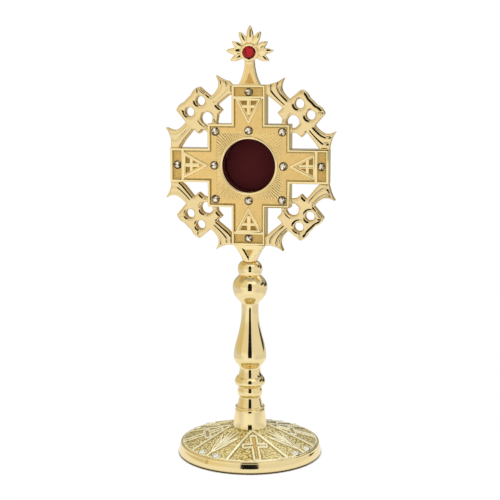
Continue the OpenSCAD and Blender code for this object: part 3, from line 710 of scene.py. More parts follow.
def velvet():
    m = Finish("maroon velvet", Roughness=0.95, Specular_IOR_Level=0.1, Sheen_Weight=0.25,
               Sheen_Roughness=0.5, Sheen_Tint=VELVET_SHEEN)
    pile = m.noise(0.5, 4)
    return m.set(Base_Color=m.blend(m.noise(8, 3), m.blend(pile, *NAP), WORN_NAP),
                 Normal=m.bump(pile, 0.006))


POLISHED = metal("polished gold", GOLD, (14, 3), (3, 4), (0.05, 0.11), (5, 2, 0.012))
ORNAMENT_GOLD = metal("ornament gold", ORNAMENT_TONES, (10, 3), (3, 4), (0.06, 0.12), (5, 2, 0.014))
SATIN = metal("satin gold", SATIN_TONES, (9, 3), (1.5, 4), (0.25, 0.35), (0.35, 3, 0.03))
FIELD = engraved_field()
TONED = shaded_sunk_gold("sunk gold with painted shade", SUNK_SHADE_TONES)
HOLLOW = shaded_sunk_gold("hollow gold with painted shade", HOLLOW_SHADE_TONES)
GROOVE = shaded_sunk_gold("groove gold with painted shade", GROOVE_SHADE_TONES)
FOOT_GOLD = foot_gold()
STEEL = metal("bright steel", STEEL_TONES, (2, 3), (0.8, 4), (0.22, 0.36))
GLASS = clear_stone("window glass", ((0.97, 0.98, 0.98), (0.94, 0.96, 0.96)), 1.0, cloud=6)
VELVET = velvet()
# Stones with their bright foil, and a dark foil that paints dark reflections on some facets
CLEAR = [
    clear_stone("crystal", ((1.0, 0.985, 0.95), (0.99, 0.965, 0.92)), 1.45),
    foil("warm foil", (1.0, 0.95, 0.84), (0.98, 0.90, 0.76)),
    foil("dark reflection foil", (0.16, 0.10, 0.04), (0.10, 0.06, 0.02))]
PALE = [
    clear_stone("milky crystal", ((1.0, 1.0, 1.0), (0.97, 0.97, 0.98)), 1.45, 0.15),
    foil("silver foil", (0.98, 0.98, 1.0), (0.90, 0.91, 0.94)),
    foil("shaded foil", (0.10, 0.10, 0.11), (0.05, 0.05, 0.06))]
RED = [
    clear_stone("red stone", ((0.56, 0.008, 0.024), (0.46, 0.006, 0.018)), 1.32),
    foil("red foil", (0.95, 0.20, 0.20), (0.80, 0.12, 0.12)),
    foil("dark red reflection foil", (0.30, 0.03, 0.04), (0.22, 0.02, 0.03))]


# Foot

FOOT_ROWS = 140
FOOT_COUNT = 900
# Inside of the casting, from the rod's hole outwards
FOOT_HOLLOW = [(ROD_HOLE_R, 9.0), (7.0, 9.0), (7.0, 11.2), (34.4, 3.9), (34.4, 0.0)]
# Bars of a panel's cross: two corners and the radius of its edges
CROSS_UPRIGHT = (-2.0, 14.0, 2.0, 34.6, 1.0)
CROSS_BEAM = (-6.6, 20.6, 6.6, 24.2, 0.8)
# Parts of a lily, as lines from their roots; petals with half their width
LILY_STEM = (0, 34.6), (0, 25.0)
PETALS = [(curve((0, 28), (0, 22), (0, 16), (0, 10.2), 10), 0.95),
          (curve((0.3, 27.5), (0.9, 21), (1.6, 16), (2.8, 10.6), 10), 0.9)]
LEAF = curve((0, 31.5), (0.8, 27), (2.6, 22), (5.0, 16.6), 14)
LEAF_HALF = 1.35


def dome_z(radius):
    return SEAT_Z - (radius - SEAT_R) * DOME_SLOPE


def box_field(u, v, u0, v0, u1, v1, corner):
    du = np.abs(u - (u0 + u1) / 2) - (u1 - u0) / 2 + corner
    dv = np.abs(v - (v0 + v1) / 2) - (v1 - v0) / 2 + corner
    return np.hypot(np.maximum(du, 0), np.maximum(dv, 0)) + np.minimum(np.maximum(du, dv), 0) - corner


def blade(u, v, line, half, sharp=0.6):
    """A ridged leaf along a line: its height from nothing to one."""
    distance, along = line_distance(u, v, line)
    width = half * np.clip(np.sin(math.pi * np.clip(along, 0, 1) ** sharp), 0.02, 1)
    body = flat_ridge(distance, 0.5 * width, 0.5 * width)
    return body * (1 - 0.2 * bell(distance, 0.3 * width + 0.02)) * np.clip(width / (0.6 * half), 0, 1)


def foot_relief(radius, angle):
    """Height of the relief over the dome and the share of stippled ground, at polar places."""
    pitch = FULL_TURN / PANEL_COUNT
    turn = (angle - math.radians(FOOT_TURN - 90) + pitch / 2) % pitch - pitch / 2
    u, v = radius * np.abs(np.sin(turn)), radius * np.cos(turn)
    lily = pitch / 2 - np.abs(turn)
    lily_u, lily_v = radius * np.sin(lily), radius * np.cos(lily)
    edge = DOME_R - radius

    cross = soft_min(box_field(u, v, *CROSS_UPRIGHT), box_field(u, v, *CROSS_BEAM), 0.5)
    rib, _ = segment_distance(u, v, (0, SEAT_R + 0.4), around(DOME_R, 90 - RIB_ANGLE))
    stem, _ = segment_distance(lily_u, lily_v, *LILY_STEM)
    leaf, along = line_distance(lily_u, lily_v, LEAF)
    width = LEAF_HALF * np.sin(math.pi * np.clip(along, 0, 1) ** 0.9) + 0.02
    stone_v, stone_u = around(FOOT_STONE_R, STONE_ANGLE)
    stone = np.hypot(lily_v - stone_v, lily_u - stone_u)
    # Raised forms: the height of each, then half its width and its bevel, or its whole reach
    raised = [
        0.65 * flat_ridge(rib, 0.5, 0.4),
        0.65 * hump(np.abs(cross + 0.5), 0.66),
        0.55 * flat_ridge(stem, 0.4, 0.35),
        0.55 * flat_ridge(np.abs(leaf - 0.7 * width), 0.28, 0.3),
        0.25 * hump(leaf, width),
        0.45 * hump(edge - 0.5, 0.5),
        0.6 * bell(np.maximum(stone - FOOT_STONE_D / 2 - 0.45, 0), 0.4)]
    raised += [0.7 * blade(lily_u, lily_v, line, half) for line, half in PETALS]
    rise = np.where(stone < FOOT_STONE_D / 2 + 0.2, -1.1, np.max(raised, axis=0))

    ground = np.clip(1 - rise / 0.22, 0, 1)
    ground = np.where(cross < -0.5, 0.35 * ground, ground)
    fade = np.clip((radius - SEAT_R) / 1.5, 0, 1) * np.clip(edge / 0.4, 0, 1)
    return rise * fade, ground


def beside_ridges(rise, cells):
    """Where the ground lies close beside raised lines, from nothing to one: the places that painted shade
    darkens.
    """
    reach = range(-cells, cells + 1)
    near = sum(np.roll(rise, k, axis=1) for k in reach) / len(reach)
    padded = np.pad(near, ((cells, cells), (0, 0)), mode="edge")
    near = sum(padded[cells + k:cells + k + len(rise)] for k in reach) / len(reach)
    return np.clip((near - rise) / 0.12, 0, 1)


def build_foot():
    angle = np.arange(FOOT_COUNT) * FULL_TURN / FOOT_COUNT
    radius = np.linspace(DOME_R, SEAT_R - 0.3, FOOT_ROWS)
    grid_r, grid_a = np.meshgrid(radius, angle, indexing="ij")
    rise, ground = foot_relief(grid_r, grid_a)
    points = np.stack([grid_r * np.cos(grid_a), grid_r * np.sin(grid_a), dome_z(grid_r) + rise], axis=2)
    numbers = np.arange(rise.size).reshape(rise.shape).tolist()
    shape = Shape().add(points.reshape(-1, 3), grid_faces(numbers))
    inward = np.clip((DOME_R - 1.4 - grid_r) / 0.8, 0, 1)
    # The crest mark carries the painted highlight, and the cavity mark the painted shade beside the ridges
    marks = {"ground": ground, "crest": np.clip(rise / 0.45, 0, 1),
             "cavity": beside_ridges(np.maximum(rise, 0), 3) * inward}
    edge = [(FOOT_R - 0.5 + 0.5 * math.sin(t), 0.5 - 0.5 * math.cos(t))
            for t in np.linspace(0, math.pi / 2, 7)]
    band = curve((FOOT_R, 0.7), (FOOT_R, 2.4), (FOOT_R - 0.25, 3.6), (BAND_TOP_R, BAND_TOP_Z), 12)
    lip = curve((BAND_TOP_R, BAND_TOP_Z), (BAND_TOP_R, 5.6), (DOME_R + 0.6, DOME_EDGE_Z + 0.4),
                (DOME_R, DOME_EDGE_Z), 10)
    for profile in (joined([(FOOT_R - 2.6, 0.0)], edge, band, lip[1:]), FOOT_HOLLOW):
        shape.add(*lathe(dense(profile), 180))
    marks = {name: np.pad(mark.ravel(), (0, shape.count - mark.size)) for name, mark in marks.items()}
    shape.piece("foot_casting", [FOOT_GOLD], replaces=["foot"], **marks)


# Stem: each turning, the piece that it dresses and its profile from the bottom up

STEM = [
    ("collar_turning", "foot_collar", joined(
        curve((8.95, 0), (8.7, 1.0), (8.47, 2.4), (8.36, 3.46), 12),
        curve((7.75, 8.86), (7.67, 9.29), (7.4, 9.57), (7.3, 9.67), 8),
        curve((7.3, 9.77), (7.9, 9.87), (7.9, 10.7), (7.3, 10.8), 16))),
    ("spool_turning", "stem_spool", joined(
        [(6.8, 0), (6.75, 0.12), (5.6, 4.63)],
        curve((5.6, 5.05), (6.0, 5.35), (6.5, 6.25), (6.5, 7.52), 14),
        curve((6.5, 7.6), (6.5, 8.4), (6.3, 9.1), (6.15, 9.58), 8),
        [(6.05, 10.3)])),
    ("knop_turning", "stem_knop", joined(
        curve((6.2, 0), (6.6, 0.69), (8.0, 1.09), (8.0, 2.48), 18),
        curve((8.0, 2.77), (8.0, 3.66), (7.4, 4.75), (6.65, 5.59), 16),
        [(6.35, 5.6)],
        curve((6.35, 5.79), (5.85, 6.83), (5.6, 7.43), (5.3, 9.9), 12))),
    ("baluster_turning", "stem_baluster", joined(
        curve((5.5, 0), (5.75, 2.05), (8.5, 3.01), (8.5, 6.4), 24),
        curve((8.5, 6.6), (8.5, 13.14), (4.7, 18.8), (4.38, 30.2), 40),
        curve((4.38, 30.6), (4.38, 31.8), (4.45, 33.0), (4.56, 34.1), 8),
        curve((4.58, 34.25), (5.4, 35.87), (9.0, 37.89), (9.0, 43.0), 28),
        curve((9.0, 43.1), (9.0, 45.6), (7.38, 47.3), (5.3, 49.2), 22))),
    ("knob_turning", "head_knob", joined(
        curve((5.6, 0), (5.95, 0.6), (6.35, 1.61), (6.35, 2.88), 18),
        curve((6.35, 3.08), (6.35, 4.62), (5.59, 5.9), (4.57, 6.7), 18))),
]


def build_stem():
    for name, source, profile in STEM:
        bottom = node_box(source)[0][2]
        bored = joined([(ROD_HOLE_R, profile[0][1])], profile, [(ROD_HOLE_R, profile[-1][1])])
        build_lathe(name, source, dense(bored), [POLISHED], "polished_gold",
                    lambda points: points + [0, 0, bottom], sharp=24)


# Cross head

# The toned, hollow and groove finishes are darker golds that paint the shade in sunk places
HEAD_FINISHES = [POLISHED, FIELD, TONED, HOLLOW, GROOVE]
ON_POLISHED, ON_FIELD, ON_TONED, ON_HOLLOW, ON_GROOVE = range(5)
GROOVE_FACES = 3
RIM_EDGE = 0.25
RIM_GROOVE = 0.25
# Ridges start below their ground and end a little short of the next level
RIDGE_SINK = 0.05
RIDGE_SHORT = 0.2
# Crosslet in an arm's triangle: half its bars' widths, and its places in parts of the tracery
UPRIGHT_HALF = 1.15
UPRIGHT_END = 0.62
BEAM_HALF = 0.95
BEAM_AT = 0.29
BEAM_REACH = 0.5


def cross_outline(inset):
    """The cross with its square, counter-clockwise, drawn in by inset."""
    a, s, r = ARM_HALF - inset, SQUARE_HALF - inset, ARM_REACH - inset
    quarter = np.array([(a, r), (-a, r), (-a, s), (-s, s), (-s, a)])
    return np.concatenate([turned_way(quarter, (4 - k) % 4) for k in range(4)])


def arm_panel():
    """Sunk end panel of the upper arm, with rounded corners."""
    half = ARM_HALF - PANEL_INSET - PANEL_CORNER
    low, high = PANEL_V + PANEL_CORNER, ARM_REACH - PANEL_INSET - PANEL_CORNER
    middles = ((half, high), (-half, high), (-half, low), (half, low))
    return np.array([middle + around(PANEL_CORNER, 90 * k + 22.5 * i)
                     for k, middle in enumerate(middles) for i in range(5)])


def arm_triangle(inset):
    """Triangle of the upper arm's tracery, drawn in by inset."""
    half, top = TRACERY_HALF - 1.6 * inset, TRACERY_TOP - 0.3 * inset
    drop = inset * TRACERY_H / TRACERY_HALF
    return np.array([(half, top), (-half, top), (0, TRACERY_TOP - TRACERY_H + 1.6 * drop)])


def rim_section():
    """Section of the rim as (distance in from the outline, depth), from the plate round to the field."""
    crest = (RIM_W - 0.1) / 2
    return joined(
        [(WALL, Y_PLATE), (WALL, Y_BACK), (RIM_EDGE, Y_BACK), (0.0, Y_BACK - RIM_EDGE),
         (0.0, Y_FRONT + 0.35)],
        [(RIM_EDGE - RIM_EDGE * math.cos(t), Y_FRONT + 0.32 - RIM_EDGE * math.sin(t))
         for t in np.linspace(0.3, 1.0, 3)],
        [(crest + s * (crest - 0.18), Y_FRONT + 0.05 * s * s) for s in np.linspace(-1, 1, 11)],
        [(RIM_W - 0.1, Y_FIELD - RIM_GROOVE), (RIM_W, Y_FIELD + RIM_GROOVE),
         (RIM_W + 0.3, Y_FIELD + RIM_GROOVE), (FIELD_INSET, Y_FIELD)])


def between(top, top_y, floor, floor_y):
    """Points and faces of the wall between two loops of the head's front."""
    n = len(top)
    points = np.concatenate([on_head(top, top_y), on_head(floor, floor_y)])
    return points, grid_faces([range(n), range(n, 2 * n)])


def build_head():
    shape = Shape()
    rim = rim_section()
    points, faces = sweep(cross_outline(0), rim)
    across = np.arange(len(faces)) % (len(rim) - 1)
    # The rim's inner groove takes the groove finish, which paints the shade in it
    grooved = across >= len(rim) - 1 - GROOVE_FACES
    shape.add(points, [face[::-1] for face in faces], np.where(grooved, ON_GROOVE, ON_POLISHED))

    def seats_at(*places):
        return [ring(turned_way([at], k)[0], SEAT_RING_R, 40) for k in range(4) for at in places]

    holes = [turned_way(loop, k) for k in range(4) for loop in (arm_panel(), arm_triangle(TRACERY_W))]
    seats, ends = seats_at(INNER_CRYSTAL, CORNER_CRYSTAL), seats_at(END_CRYSTAL)
    flat, triangles = fill([cross_outline(FIELD_INSET), ring((0, 0), WINDOW_R + 0.6, 120)] + holes + seats)
    shape.add(on_head(flat, Y_FIELD), triangles, ON_FIELD)
    # Walls and floors of the stones' seats take the hollow finish, which paints the shade in them
    for loops, y in ((seats, Y_FIELD), (ends, Y_GROUND)):
        for loop in loops:
            points, walls = between(loop, y, loop, y + SEAT_DEPTH)
            shape.add(points, walls + [list(range(len(loop), len(points)))], ON_HOLLOW)
    for loop in holes:
        floor = loop + 0.12 * mitres(loop)
        shape.add(*between(loop, Y_FIELD, floor, Y_GROUND), ON_POLISHED)
        within = [seat for seat in ends if outline_field(*seat.mean(axis=0), floor) < 0]
        flat, triangles = fill([floor] + within)
        # Floors of the triangles take the hollow finish and those of the end panels the toned finish; both
        # paint the shade in them
        shape.add(on_head(flat, Y_GROUND), triangles, ON_HOLLOW if len(loop) == 3 else ON_TONED)

    tracery = ridge_section(TRACERY_W * 0.66, Y_FIELD + RIDGE_SINK, Y_FRONT + RIDGE_SHORT, power=2.0)
    upright = ridge_section(UPRIGHT_HALF, Y_GROUND + RIDGE_SINK, Y_FIELD - RIDGE_SHORT)
    beam = ridge_section(BEAM_HALF, Y_GROUND + RIDGE_SINK, Y_FIELD - RIDGE_SHORT)
    crossing, reach = TRACERY_TOP - TRACERY_H * BEAM_AT, TRACERY_HALF * BEAM_REACH
    bar_v = PANEL_V - 0.65
    for k in range(4):
        for path, section, closed in (
                (arm_triangle(TRACERY_W * 0.3), tracery, True),
                ([(1.0 - ARM_HALF, bar_v), (ARM_HALF - 1.0, bar_v)], tracery, False),
                ([(0, TRACERY_TOP - 0.3), (0, TRACERY_TOP - TRACERY_H * UPRIGHT_END)], upright, False),
                ([(-reach, crossing), (reach, crossing)], beam, False)):
            shape.add(*sweep(turned_way(path, k), section, closed), ON_POLISHED)
    shape.piece("head_casting", HEAD_FINISHES, replaces=["head_frame"])


# Corner ornaments, drawn for the upper right corner; each is the same about its diagonal

CORNER = np.array([SQUARE_HALF, SQUARE_HALF])
ARM_END = np.array([ARM_HALF, ARM_REACH])
EYE_AT = CORNER + [4.4, 10.0]
EYE_R = 2.4
LOOP_AT = CORNER + [1.2, 1.2]
LOOP_R = 3.2
LOBE = CORNER + joined(
    [(11.2, 11.2), (9.4, 12.9)],
    curve((9.2, 13.2), (8.6, 15), (7, 16.4), (5.1, 17), 8),
    [(-0.8, 12), (-4, 8), (-6.7, 5.5), (-4.4, 2.9), (-4.4, -0.3), (-0.3, -0.3)])
RIBBON_TIP = ARM_END + [9.0, 3.3]
RIBBON_ROOT = CORNER + [-1.0, 12.2]
RIBBON_OUTER = curve(RIBBON_TIP, RIBBON_TIP + [-2.4, -4.4], RIBBON_ROOT + [-4.6, 4.2], RIBBON_ROOT, 14)
RIBBON_INNER = np.array([ARM_END + [0, 2], ARM_END + [0, -4.4], CORNER + [-4, 8]])
RIBBON = joined(
    curve(ARM_END + [-0.3, 0], ARM_END + [3, 0.2], ARM_END + [6, 1], RIBBON_TIP, 10),
    RIBBON_OUTER[1:],
    [CORNER + [-3, 7.6], CORNER + [-4, 8], ARM_END + [-0.3, -4.4]])
# Grooves of the front: from the lobe's tip to its eye, along the lobe's edge, and behind the barb
GROOVES = [
    (CORNER + [(5.9, 16.4), (5.2, 13.2)], 0.24),
    (CORNER + [(4.5, 15.9), (2.0, 13.7)], 0.24),
    (CORNER + [(0.3, 4.9), (-3.5, 1.2)], 0.30),
]
GROOVE_HALF = 0.45
# Grooves along a ribbon, by their part of the way across it
RIBBON_GROOVES = (0.38, 0.80)
RIBBON_GROOVE_HALF = 0.46
RIBBON_GROOVE_DEPTH = 0.26
ORNAMENT_BOX = (ARM_HALF - 1, ARM_HALF - 1, ARM_REACH + 4.2, ARM_REACH + 4.2)
ORNAMENT_LEVELS = (0.0, 0.04, 0.12, 0.25, 0.45, 0.75, 1.1)
ORNAMENT_FRONT = 3.5
ORNAMENT_REAR = 1.9
# The front falls towards its rim, and its edge is rounded
ORNAMENT_ROUND = 1.8
ORNAMENT_FALL = 0.36
ORNAMENT_EDGE = 0.35
# How far each cast ornament sits from its true place, to the right and up
ORNAMENT_SHIFT = {(1, 1): (0.15, 0.2), (1, -1): (0.15, 0.4), (-1, 1): (0.5, 1.4), (-1, -1): (0.3, 0.4)}


def half_field(u, v):
    return soft_min(outline_field(u, v, LOBE), outline_field(u, v, RIBBON), 0.7)


def ornament_outline():
    """The outer edge of one ornament, as one loop."""
    us = np.arange(ARM_HALF - 1.0, ARM_REACH + 4.4, 0.2)
    u, v = np.meshgrid(us, us)
    loops = contours(soft_min(half_field(u, v), half_field(v, u), 0.4), us, us, 0.0)
    return even_loop(max(loops, key=len), 0.45)


ORNAMENT = ornament_outline()


def ornament_field(u, v):
    body = outline_field(u, v, ORNAMENT)
    body = soft_max(body, LOOP_R - np.hypot(u - LOOP_AT[0], v - LOOP_AT[1]), 0.3)
    for a, b in ((u, v), (v, u)):
        body = soft_max(body, EYE_R - np.hypot(a - EYE_AT[0], b - EYE_AT[1]), 0.3)
    return body


def ribbon_lines(u, v):
    """Depth of the two grooves that run along a ribbon."""
    outer, along = line_distance(u, v, RIBBON_OUTER)
    inner, _ = line_distance(u, v, RIBBON_INNER)
    part = inner / (inner + outer)
    beside = np.min([np.abs(part - groove) for groove in RIBBON_GROOVES], axis=0) * (inner + outer)
    clear = np.clip(0.6 + outline_field(u, v, LOBE), 0, 1)
    return RIBBON_GROOVE_DEPTH * (1 - 0.5 * along) * bell(beside, RIBBON_GROOVE_HALF) * clear


def ornament_height(u, v):
    """Depth of the ornament's front: flat, with rounded edges and grooves."""
    depth = -ornament_field(u, v)
    crown = ORNAMENT_FRONT - ORNAMENT_FALL * (1 - np.clip(depth / ORNAMENT_ROUND, 0, 1)) ** 2
    rise = rounded(crown, depth, ORNAMENT_EDGE)
    for a, b in ((u, v), (v, u)):
        rise = rise - np.where(b > a, ribbon_lines(a, b), 0)
        for line, deep in GROOVES:
            rise = rise - deep * bell(line_distance(a, b, line)[0], GROOVE_HALF)
    return -rise


def build_ornaments():
    points, faces, normals = relief(ornament_field, ornament_height, flat_at(ORNAMENT_REAR), ORNAMENT_BOX,
                                    ORNAMENT_LEVELS, spacing=0.3, step=0.16)
    # The side walls take the toned finish, which paints their shade
    walls = [1 if len(face) == 4 else 0 for face in faces]
    # The shift grows over the first millimetres outside the cross, so that the roots stay on it
    away = eased(outline_field(points[:, 0], points[:, 2] - HEAD_Z, cross_outline(0)) / 3.0)
    shape = Shape()
    for (across, up), (right, lift) in ORNAMENT_SHIFT.items():
        moved = points.copy()
        moved[:, 0] = moved[:, 0] * across + right * away
        moved[:, 2] = HEAD_Z + (moved[:, 2] - HEAD_Z) * up + lift * away
        shape.add(moved, faces if across * up > 0 else [face[::-1] for face in faces], walls,
                  normals * np.array([across, 1, up]))
    shape.piece("corner_ornaments", [ORNAMENT_GOLD, TONED], sharp=0)


# Finial

# Groups of three rays: the angle of the middle one and its length
RAY_GROUPS = ((4.6, 12.0), (90.0, 13.4), (175.4, 12.0))
RAY_STEP = 13.75
RAY_SWELL = RAY_STEP * 0.86
SIDE_RAY = 0.87
RAY_VALLEY = 7.8
GROUP_VALLEY = 5.6
RAY_AXES = [math.radians(axis + k * RAY_STEP) for axis, _ in RAY_GROUPS for k in (-2, 0, 2)]
NECK_SIDE = curve((5.68, ARM_REACH - 0.3), (4.13, 42.9), (2.6, 46.5), (2.3, 52.2), 14)
NECK = joined(NECK_SIDE, (NECK_SIDE * [-1, 1])[::-1])
NECK_PANEL = 0.95
NECK_TRIANGLE = np.array([(2.2, ARM_REACH + 0.7), (-2.2, ARM_REACH + 0.7), (0, ARM_REACH + 6.2)])
FINIAL_BOX = (-13.2, ARM_REACH - 1.2, 13.2, TOP_Z - HEAD_Z + 0.4)
FINIAL_LEVELS = (0.0, 0.04, 0.12, 0.25, 0.5)
FINIAL_FRONT = 2.3
FINIAL_REAR = 1.0
FINIAL_EDGE = 0.4
# How a ray bends along its length and falls to its sides, and how deep the neck's fields are sunk
RAY_BEND = 0.04
RAY_ROOF = 0.19
NECK_SINK = 0.35
TRIANGLE_SINK = 0.4
# Ring of the cup: its top, how far it falls, the floor inside it, and radii from the inside out
CUP_TOP = 3.2
CUP_FALL = 0.9
CUP_FLOOR = 2.4
CUP_WELL_R = 3.35
CUP_BEND_R = 4.1
CUP_FOOT_R = 4.9


def star_outline():
    """Three groups of three leaf-shaped rays round the cup."""
    def at(reach, degrees):
        return around(reach, degrees) + [0, FINIAL_V]

    runs = [[(0.0, FINIAL_V)]]
    for axis, length in RAY_GROUPS:
        for k in (-2, 0, 2):
            angle, reach = axis + k * RAY_STEP, length if k == 0 else SIDE_RAY * length
            sides = []
            for side in (-1, 1):
                valley = GROUP_VALLEY if k == 2 * side else RAY_VALLEY
                sides.append(curve(at(valley, angle + side * RAY_STEP),
                                   at(0.3 * valley + 0.7 * 7.9, angle + side * RAY_SWELL),
                                   at(0.28 * valley + 0.72 * reach, angle + 0.62 * side * RAY_SWELL),
                                   at(reach, angle), 8))
            runs += [sides[0], sides[1][-2::-1]]
    return joined(*runs)


STAR = star_outline()


def finial_field(u, v):
    cup = np.hypot(u, v - FINIAL_V) - CUP_R
    return soft_min(soft_min(outline_field(u, v, STAR), cup, 0.5), outline_field(u, v, NECK), 0.6)


def neck_depth(u, v):
    """How far a place of the neck lies inside its sides, below the cup."""
    return np.minimum(-outline_field(u, v, NECK), np.hypot(u, v - FINIAL_V) - CUP_R - 0.2)


def finial_height(u, v):
    """Depth of the finial's front: ridged rays, a neck with a sunk panel, and the cup's ring."""
    away = np.hypot(u, v - FINIAL_V)
    turn = np.arctan2(v - FINIAL_V, u)
    aside = np.full(np.shape(u), 9.0)
    for axis in RAY_AXES:
        beside = np.where(np.cos(turn - axis) > 0, np.abs(away * np.sin(turn - axis)), 9.0)
        aside = np.minimum(aside, beside)
    swell = RAY_BEND * (np.minimum(away, 13) - RAY_VALLEY) ** 2
    rays = FINIAL_FRONT - RAY_ROOF * np.minimum(aside, 1.9) ** 2 - swell
    inside = neck_depth(u, v)
    neck = FINIAL_FRONT - NECK_SINK * np.clip((inside - 0.6) / 0.5, 0, 1)
    neck = neck - TRIANGLE_SINK * np.clip(0.5 - outline_field(u, v, NECK_TRIANGLE) / 0.4, 0, 1)
    rise = rounded(np.where(inside > 0, neck, rays), -finial_field(u, v), FINIAL_EDGE)
    cup = CUP_TOP - CUP_FALL * np.clip((away - CUP_BEND_R) / 0.7, 0, 1) ** 2
    rise = np.where(away < CUP_FOOT_R, np.maximum(rise, cup), rise)
    return -np.where(away < CUP_WELL_R, CUP_FLOOR, rise)


def build_finial():
    points, faces, normals = relief(finial_field, finial_height, flat_at(FINIAL_REAR), FINIAL_BOX,
                                    FINIAL_LEVELS, spacing=0.24)
    u, v, depth = face_middles(points, faces)
    front = depth < -1.0
    panel = front & (neck_depth(u, v) > NECK_PANEL)
    sunk = front & (outline_field(u, v, NECK_TRIANGLE) < -0.1)
    # The sunk triangle takes the toned finish, which paints the shade in it, and the neck's panel satin
    # gold
    shape = Shape().add(points, faces, np.where(sunk, 2, np.where(panel, 1, 0)), normals)
    shape.piece("finial_star", [POLISHED, SATIN, TONED], sharp=0)


# Bracket under the lower arm

BRACKET_LOW = -ARM_REACH - 8.9
FLARE = curve((3.6, 0), (4.6, 3.56), (6.54, 6.23), (8.6, 9.2), 24)
BRACKET = joined(FLARE, (FLARE * [-1, 1])[::-1]) + [0, BRACKET_LOW]
BRACKET_HALF = 3.4
BRACKET_EDGE = 0.4
BRACKET_SLOPE = 0.24
BRACKET_SINK = 0.3
BRACKET_TRIANGLE = np.array([(3.9, -ARM_REACH - 1.3), (0, -ARM_REACH - 8.0), (-3.9, -ARM_REACH - 1.3)])
BRACKET_BOX = (-9.4, BRACKET_LOW - 0.6, 9.4, -ARM_REACH + 0.6)
BRACKET_LEVELS = (0.0, 0.06, 0.2, 0.45, 0.8)


def bracket_field(u, v):
    return outline_field(u, v, BRACKET)


def bracket_depth(u, v):
    radius = np.interp(v - BRACKET_LOW, FLARE[:, 1], FLARE[:, 0])
    return np.minimum(np.sqrt(np.maximum(radius * radius - u * u, 0.0)), BRACKET_HALF)


def bracket_front(u, v):
    """Depth of the bracket's front, with a sunk triangle in a sloping edge."""
    inside = -outline_field(u, v, BRACKET_TRIANGLE)
    rise = rounded(bracket_depth(u, v), -bracket_field(u, v), BRACKET_EDGE)
    sunk = BRACKET_SLOPE * np.clip(inside, 0, 1) + BRACKET_SINK * np.clip((inside - 1) / 0.2, 0, 1)
    return sunk - rise


def build_bracket():
    points, faces, normals = relief(bracket_field, bracket_front, bracket_depth, BRACKET_BOX,
                                    BRACKET_LEVELS, spacing=0.3)
    u, v, depth = face_middles(points, faces)
    sunk = (outline_field(u, v, BRACKET_TRIANGLE) < -1.1) & (depth < 0)
    # The sunk triangle takes the toned finish, which paints the shade in it
    shape = Shape().add(points, faces, np.where(sunk, 1, 0), normals)
    shape.piece("head_bracket", [POLISHED, TONED], sharp=0)


# Stones

# Facets below the girdle painted with dark reflections, by sixteenths round: near the girdle, round the
# point, and the point
HEAD_FACETS = ("xx.xx.x.x.x.xx.x", "..x.....x......x", "." * 16)
FOOT_FACETS = ("." * 16, "." * 16, "x" * 16)
# Share of a foot stone's width taken by the painted dark reflection on its table
FOOT_SPOT = 0.13
# Where the facets near the girdle begin and those of the point end, in widths of the stone
GIRDLE_FACETS = 0.27
POINT_FACETS = 0.05
# How much each stone is turned against the one before it, in radians
STONE_TURN = 0.37
# Depth of the red stone, and the way that the stones of the head look
RUBY_Y = -3.44
FORWARD = (0, -1, 0)


def stone_points(d, spot):
    """Corners of a round cut stone on the origin's plane, crown towards +Z.

    A spot's share of its width stands up in the middle of its table, as the facet of a painted dark
    reflection."""
    girdle, crown, point = 0.1 * d, 0.22 * d, 0.28 * d
    rings = [
        (8, 0.28 * d, girdle + crown, 0.5), (8, 0.405 * d, girdle + 0.58 * crown, 0.0),
        (16, 0.5 * d, girdle, 0.0), (16, 0.5 * d, 0.0, 0.0),
        (8, 0.30 * d, -0.52 * point, 0.0), (8, 0.05 * d, -point, 0.5),
    ]
    if spot:
        rings.append((8, spot * d, girdle + 1.08 * crown, 0.0))
    corners = []
    for count, radius, height, part in rings:
        for angle in (FULL_TURN * (i + part) / count for i in range(count)):
            corners.append((radius * math.cos(angle), radius * math.sin(angle), height))
    return corners


def facet_shade(x, y, pattern):
    """Whether a pattern paints a dark reflection on the facet with its middle at x and y, in widths of the
    stone.
    """
    part = int(math.degrees(math.atan2(y, x)) // 22.5) % 16
    away = math.hypot(x, y)
    return pattern[2 if away < POINT_FACETS else 0 if away > GIRDLE_FACETS else 1][part] == "x"


def build_stones(name, source, places, d, materials, slot, pattern, spot=0.0):
    """Cut stones at places, each a centre and the way it looks.

    Below the girdle their facets have bright foil, or a dark foil that paints dark reflections, and a spot
    on the table is a painted dark reflection."""
    shape = Shape()
    for i, (centre, out) in enumerate(places):
        cut = bmesh.new()
        for corner in stone_points(d, spot):
            cut.verts.new(corner)
        bmesh.ops.convex_hull(cut, input=cut.verts)
        bmesh.ops.recalc_face_normals(cut, faces=cut.faces)
        cut.verts.index_update()
        slots = []
        for m in (face.calc_center_median() for face in cut.faces):
            below = m.z < 0.02 * d
            dark = below and facet_shade(m.x / d, m.y / d, pattern)
            spotted = spot and m.z > 0.33 * d and math.hypot(m.x, m.y) < 0.05 * d
            slots.append(2 if dark or spotted else 1 if below else 0)
        aim = Vector(out).to_track_quat("Z", "Y").to_matrix() @ Matrix.Rotation(STONE_TURN * i, 3, "Z")
        shape.add([aim @ vert.co + Vector(centre) for vert in cut.verts],
                  [[vert.index for vert in face.verts] for face in cut.faces], slots)
        cut.free()
    shape.piece(name, materials, replaces=[source], slot=slot, sharp=0)


def head_stone_places():
    places = []
    for k in range(4):
        for at, y in ((END_CRYSTAL, Y_GROUND), (INNER_CRYSTAL, Y_FIELD), (CORNER_CRYSTAL, Y_FIELD)):
            u, v = turned_way([at], k)[0]
            places.append(((u, y, HEAD_Z + v), FORWARD))
    return places


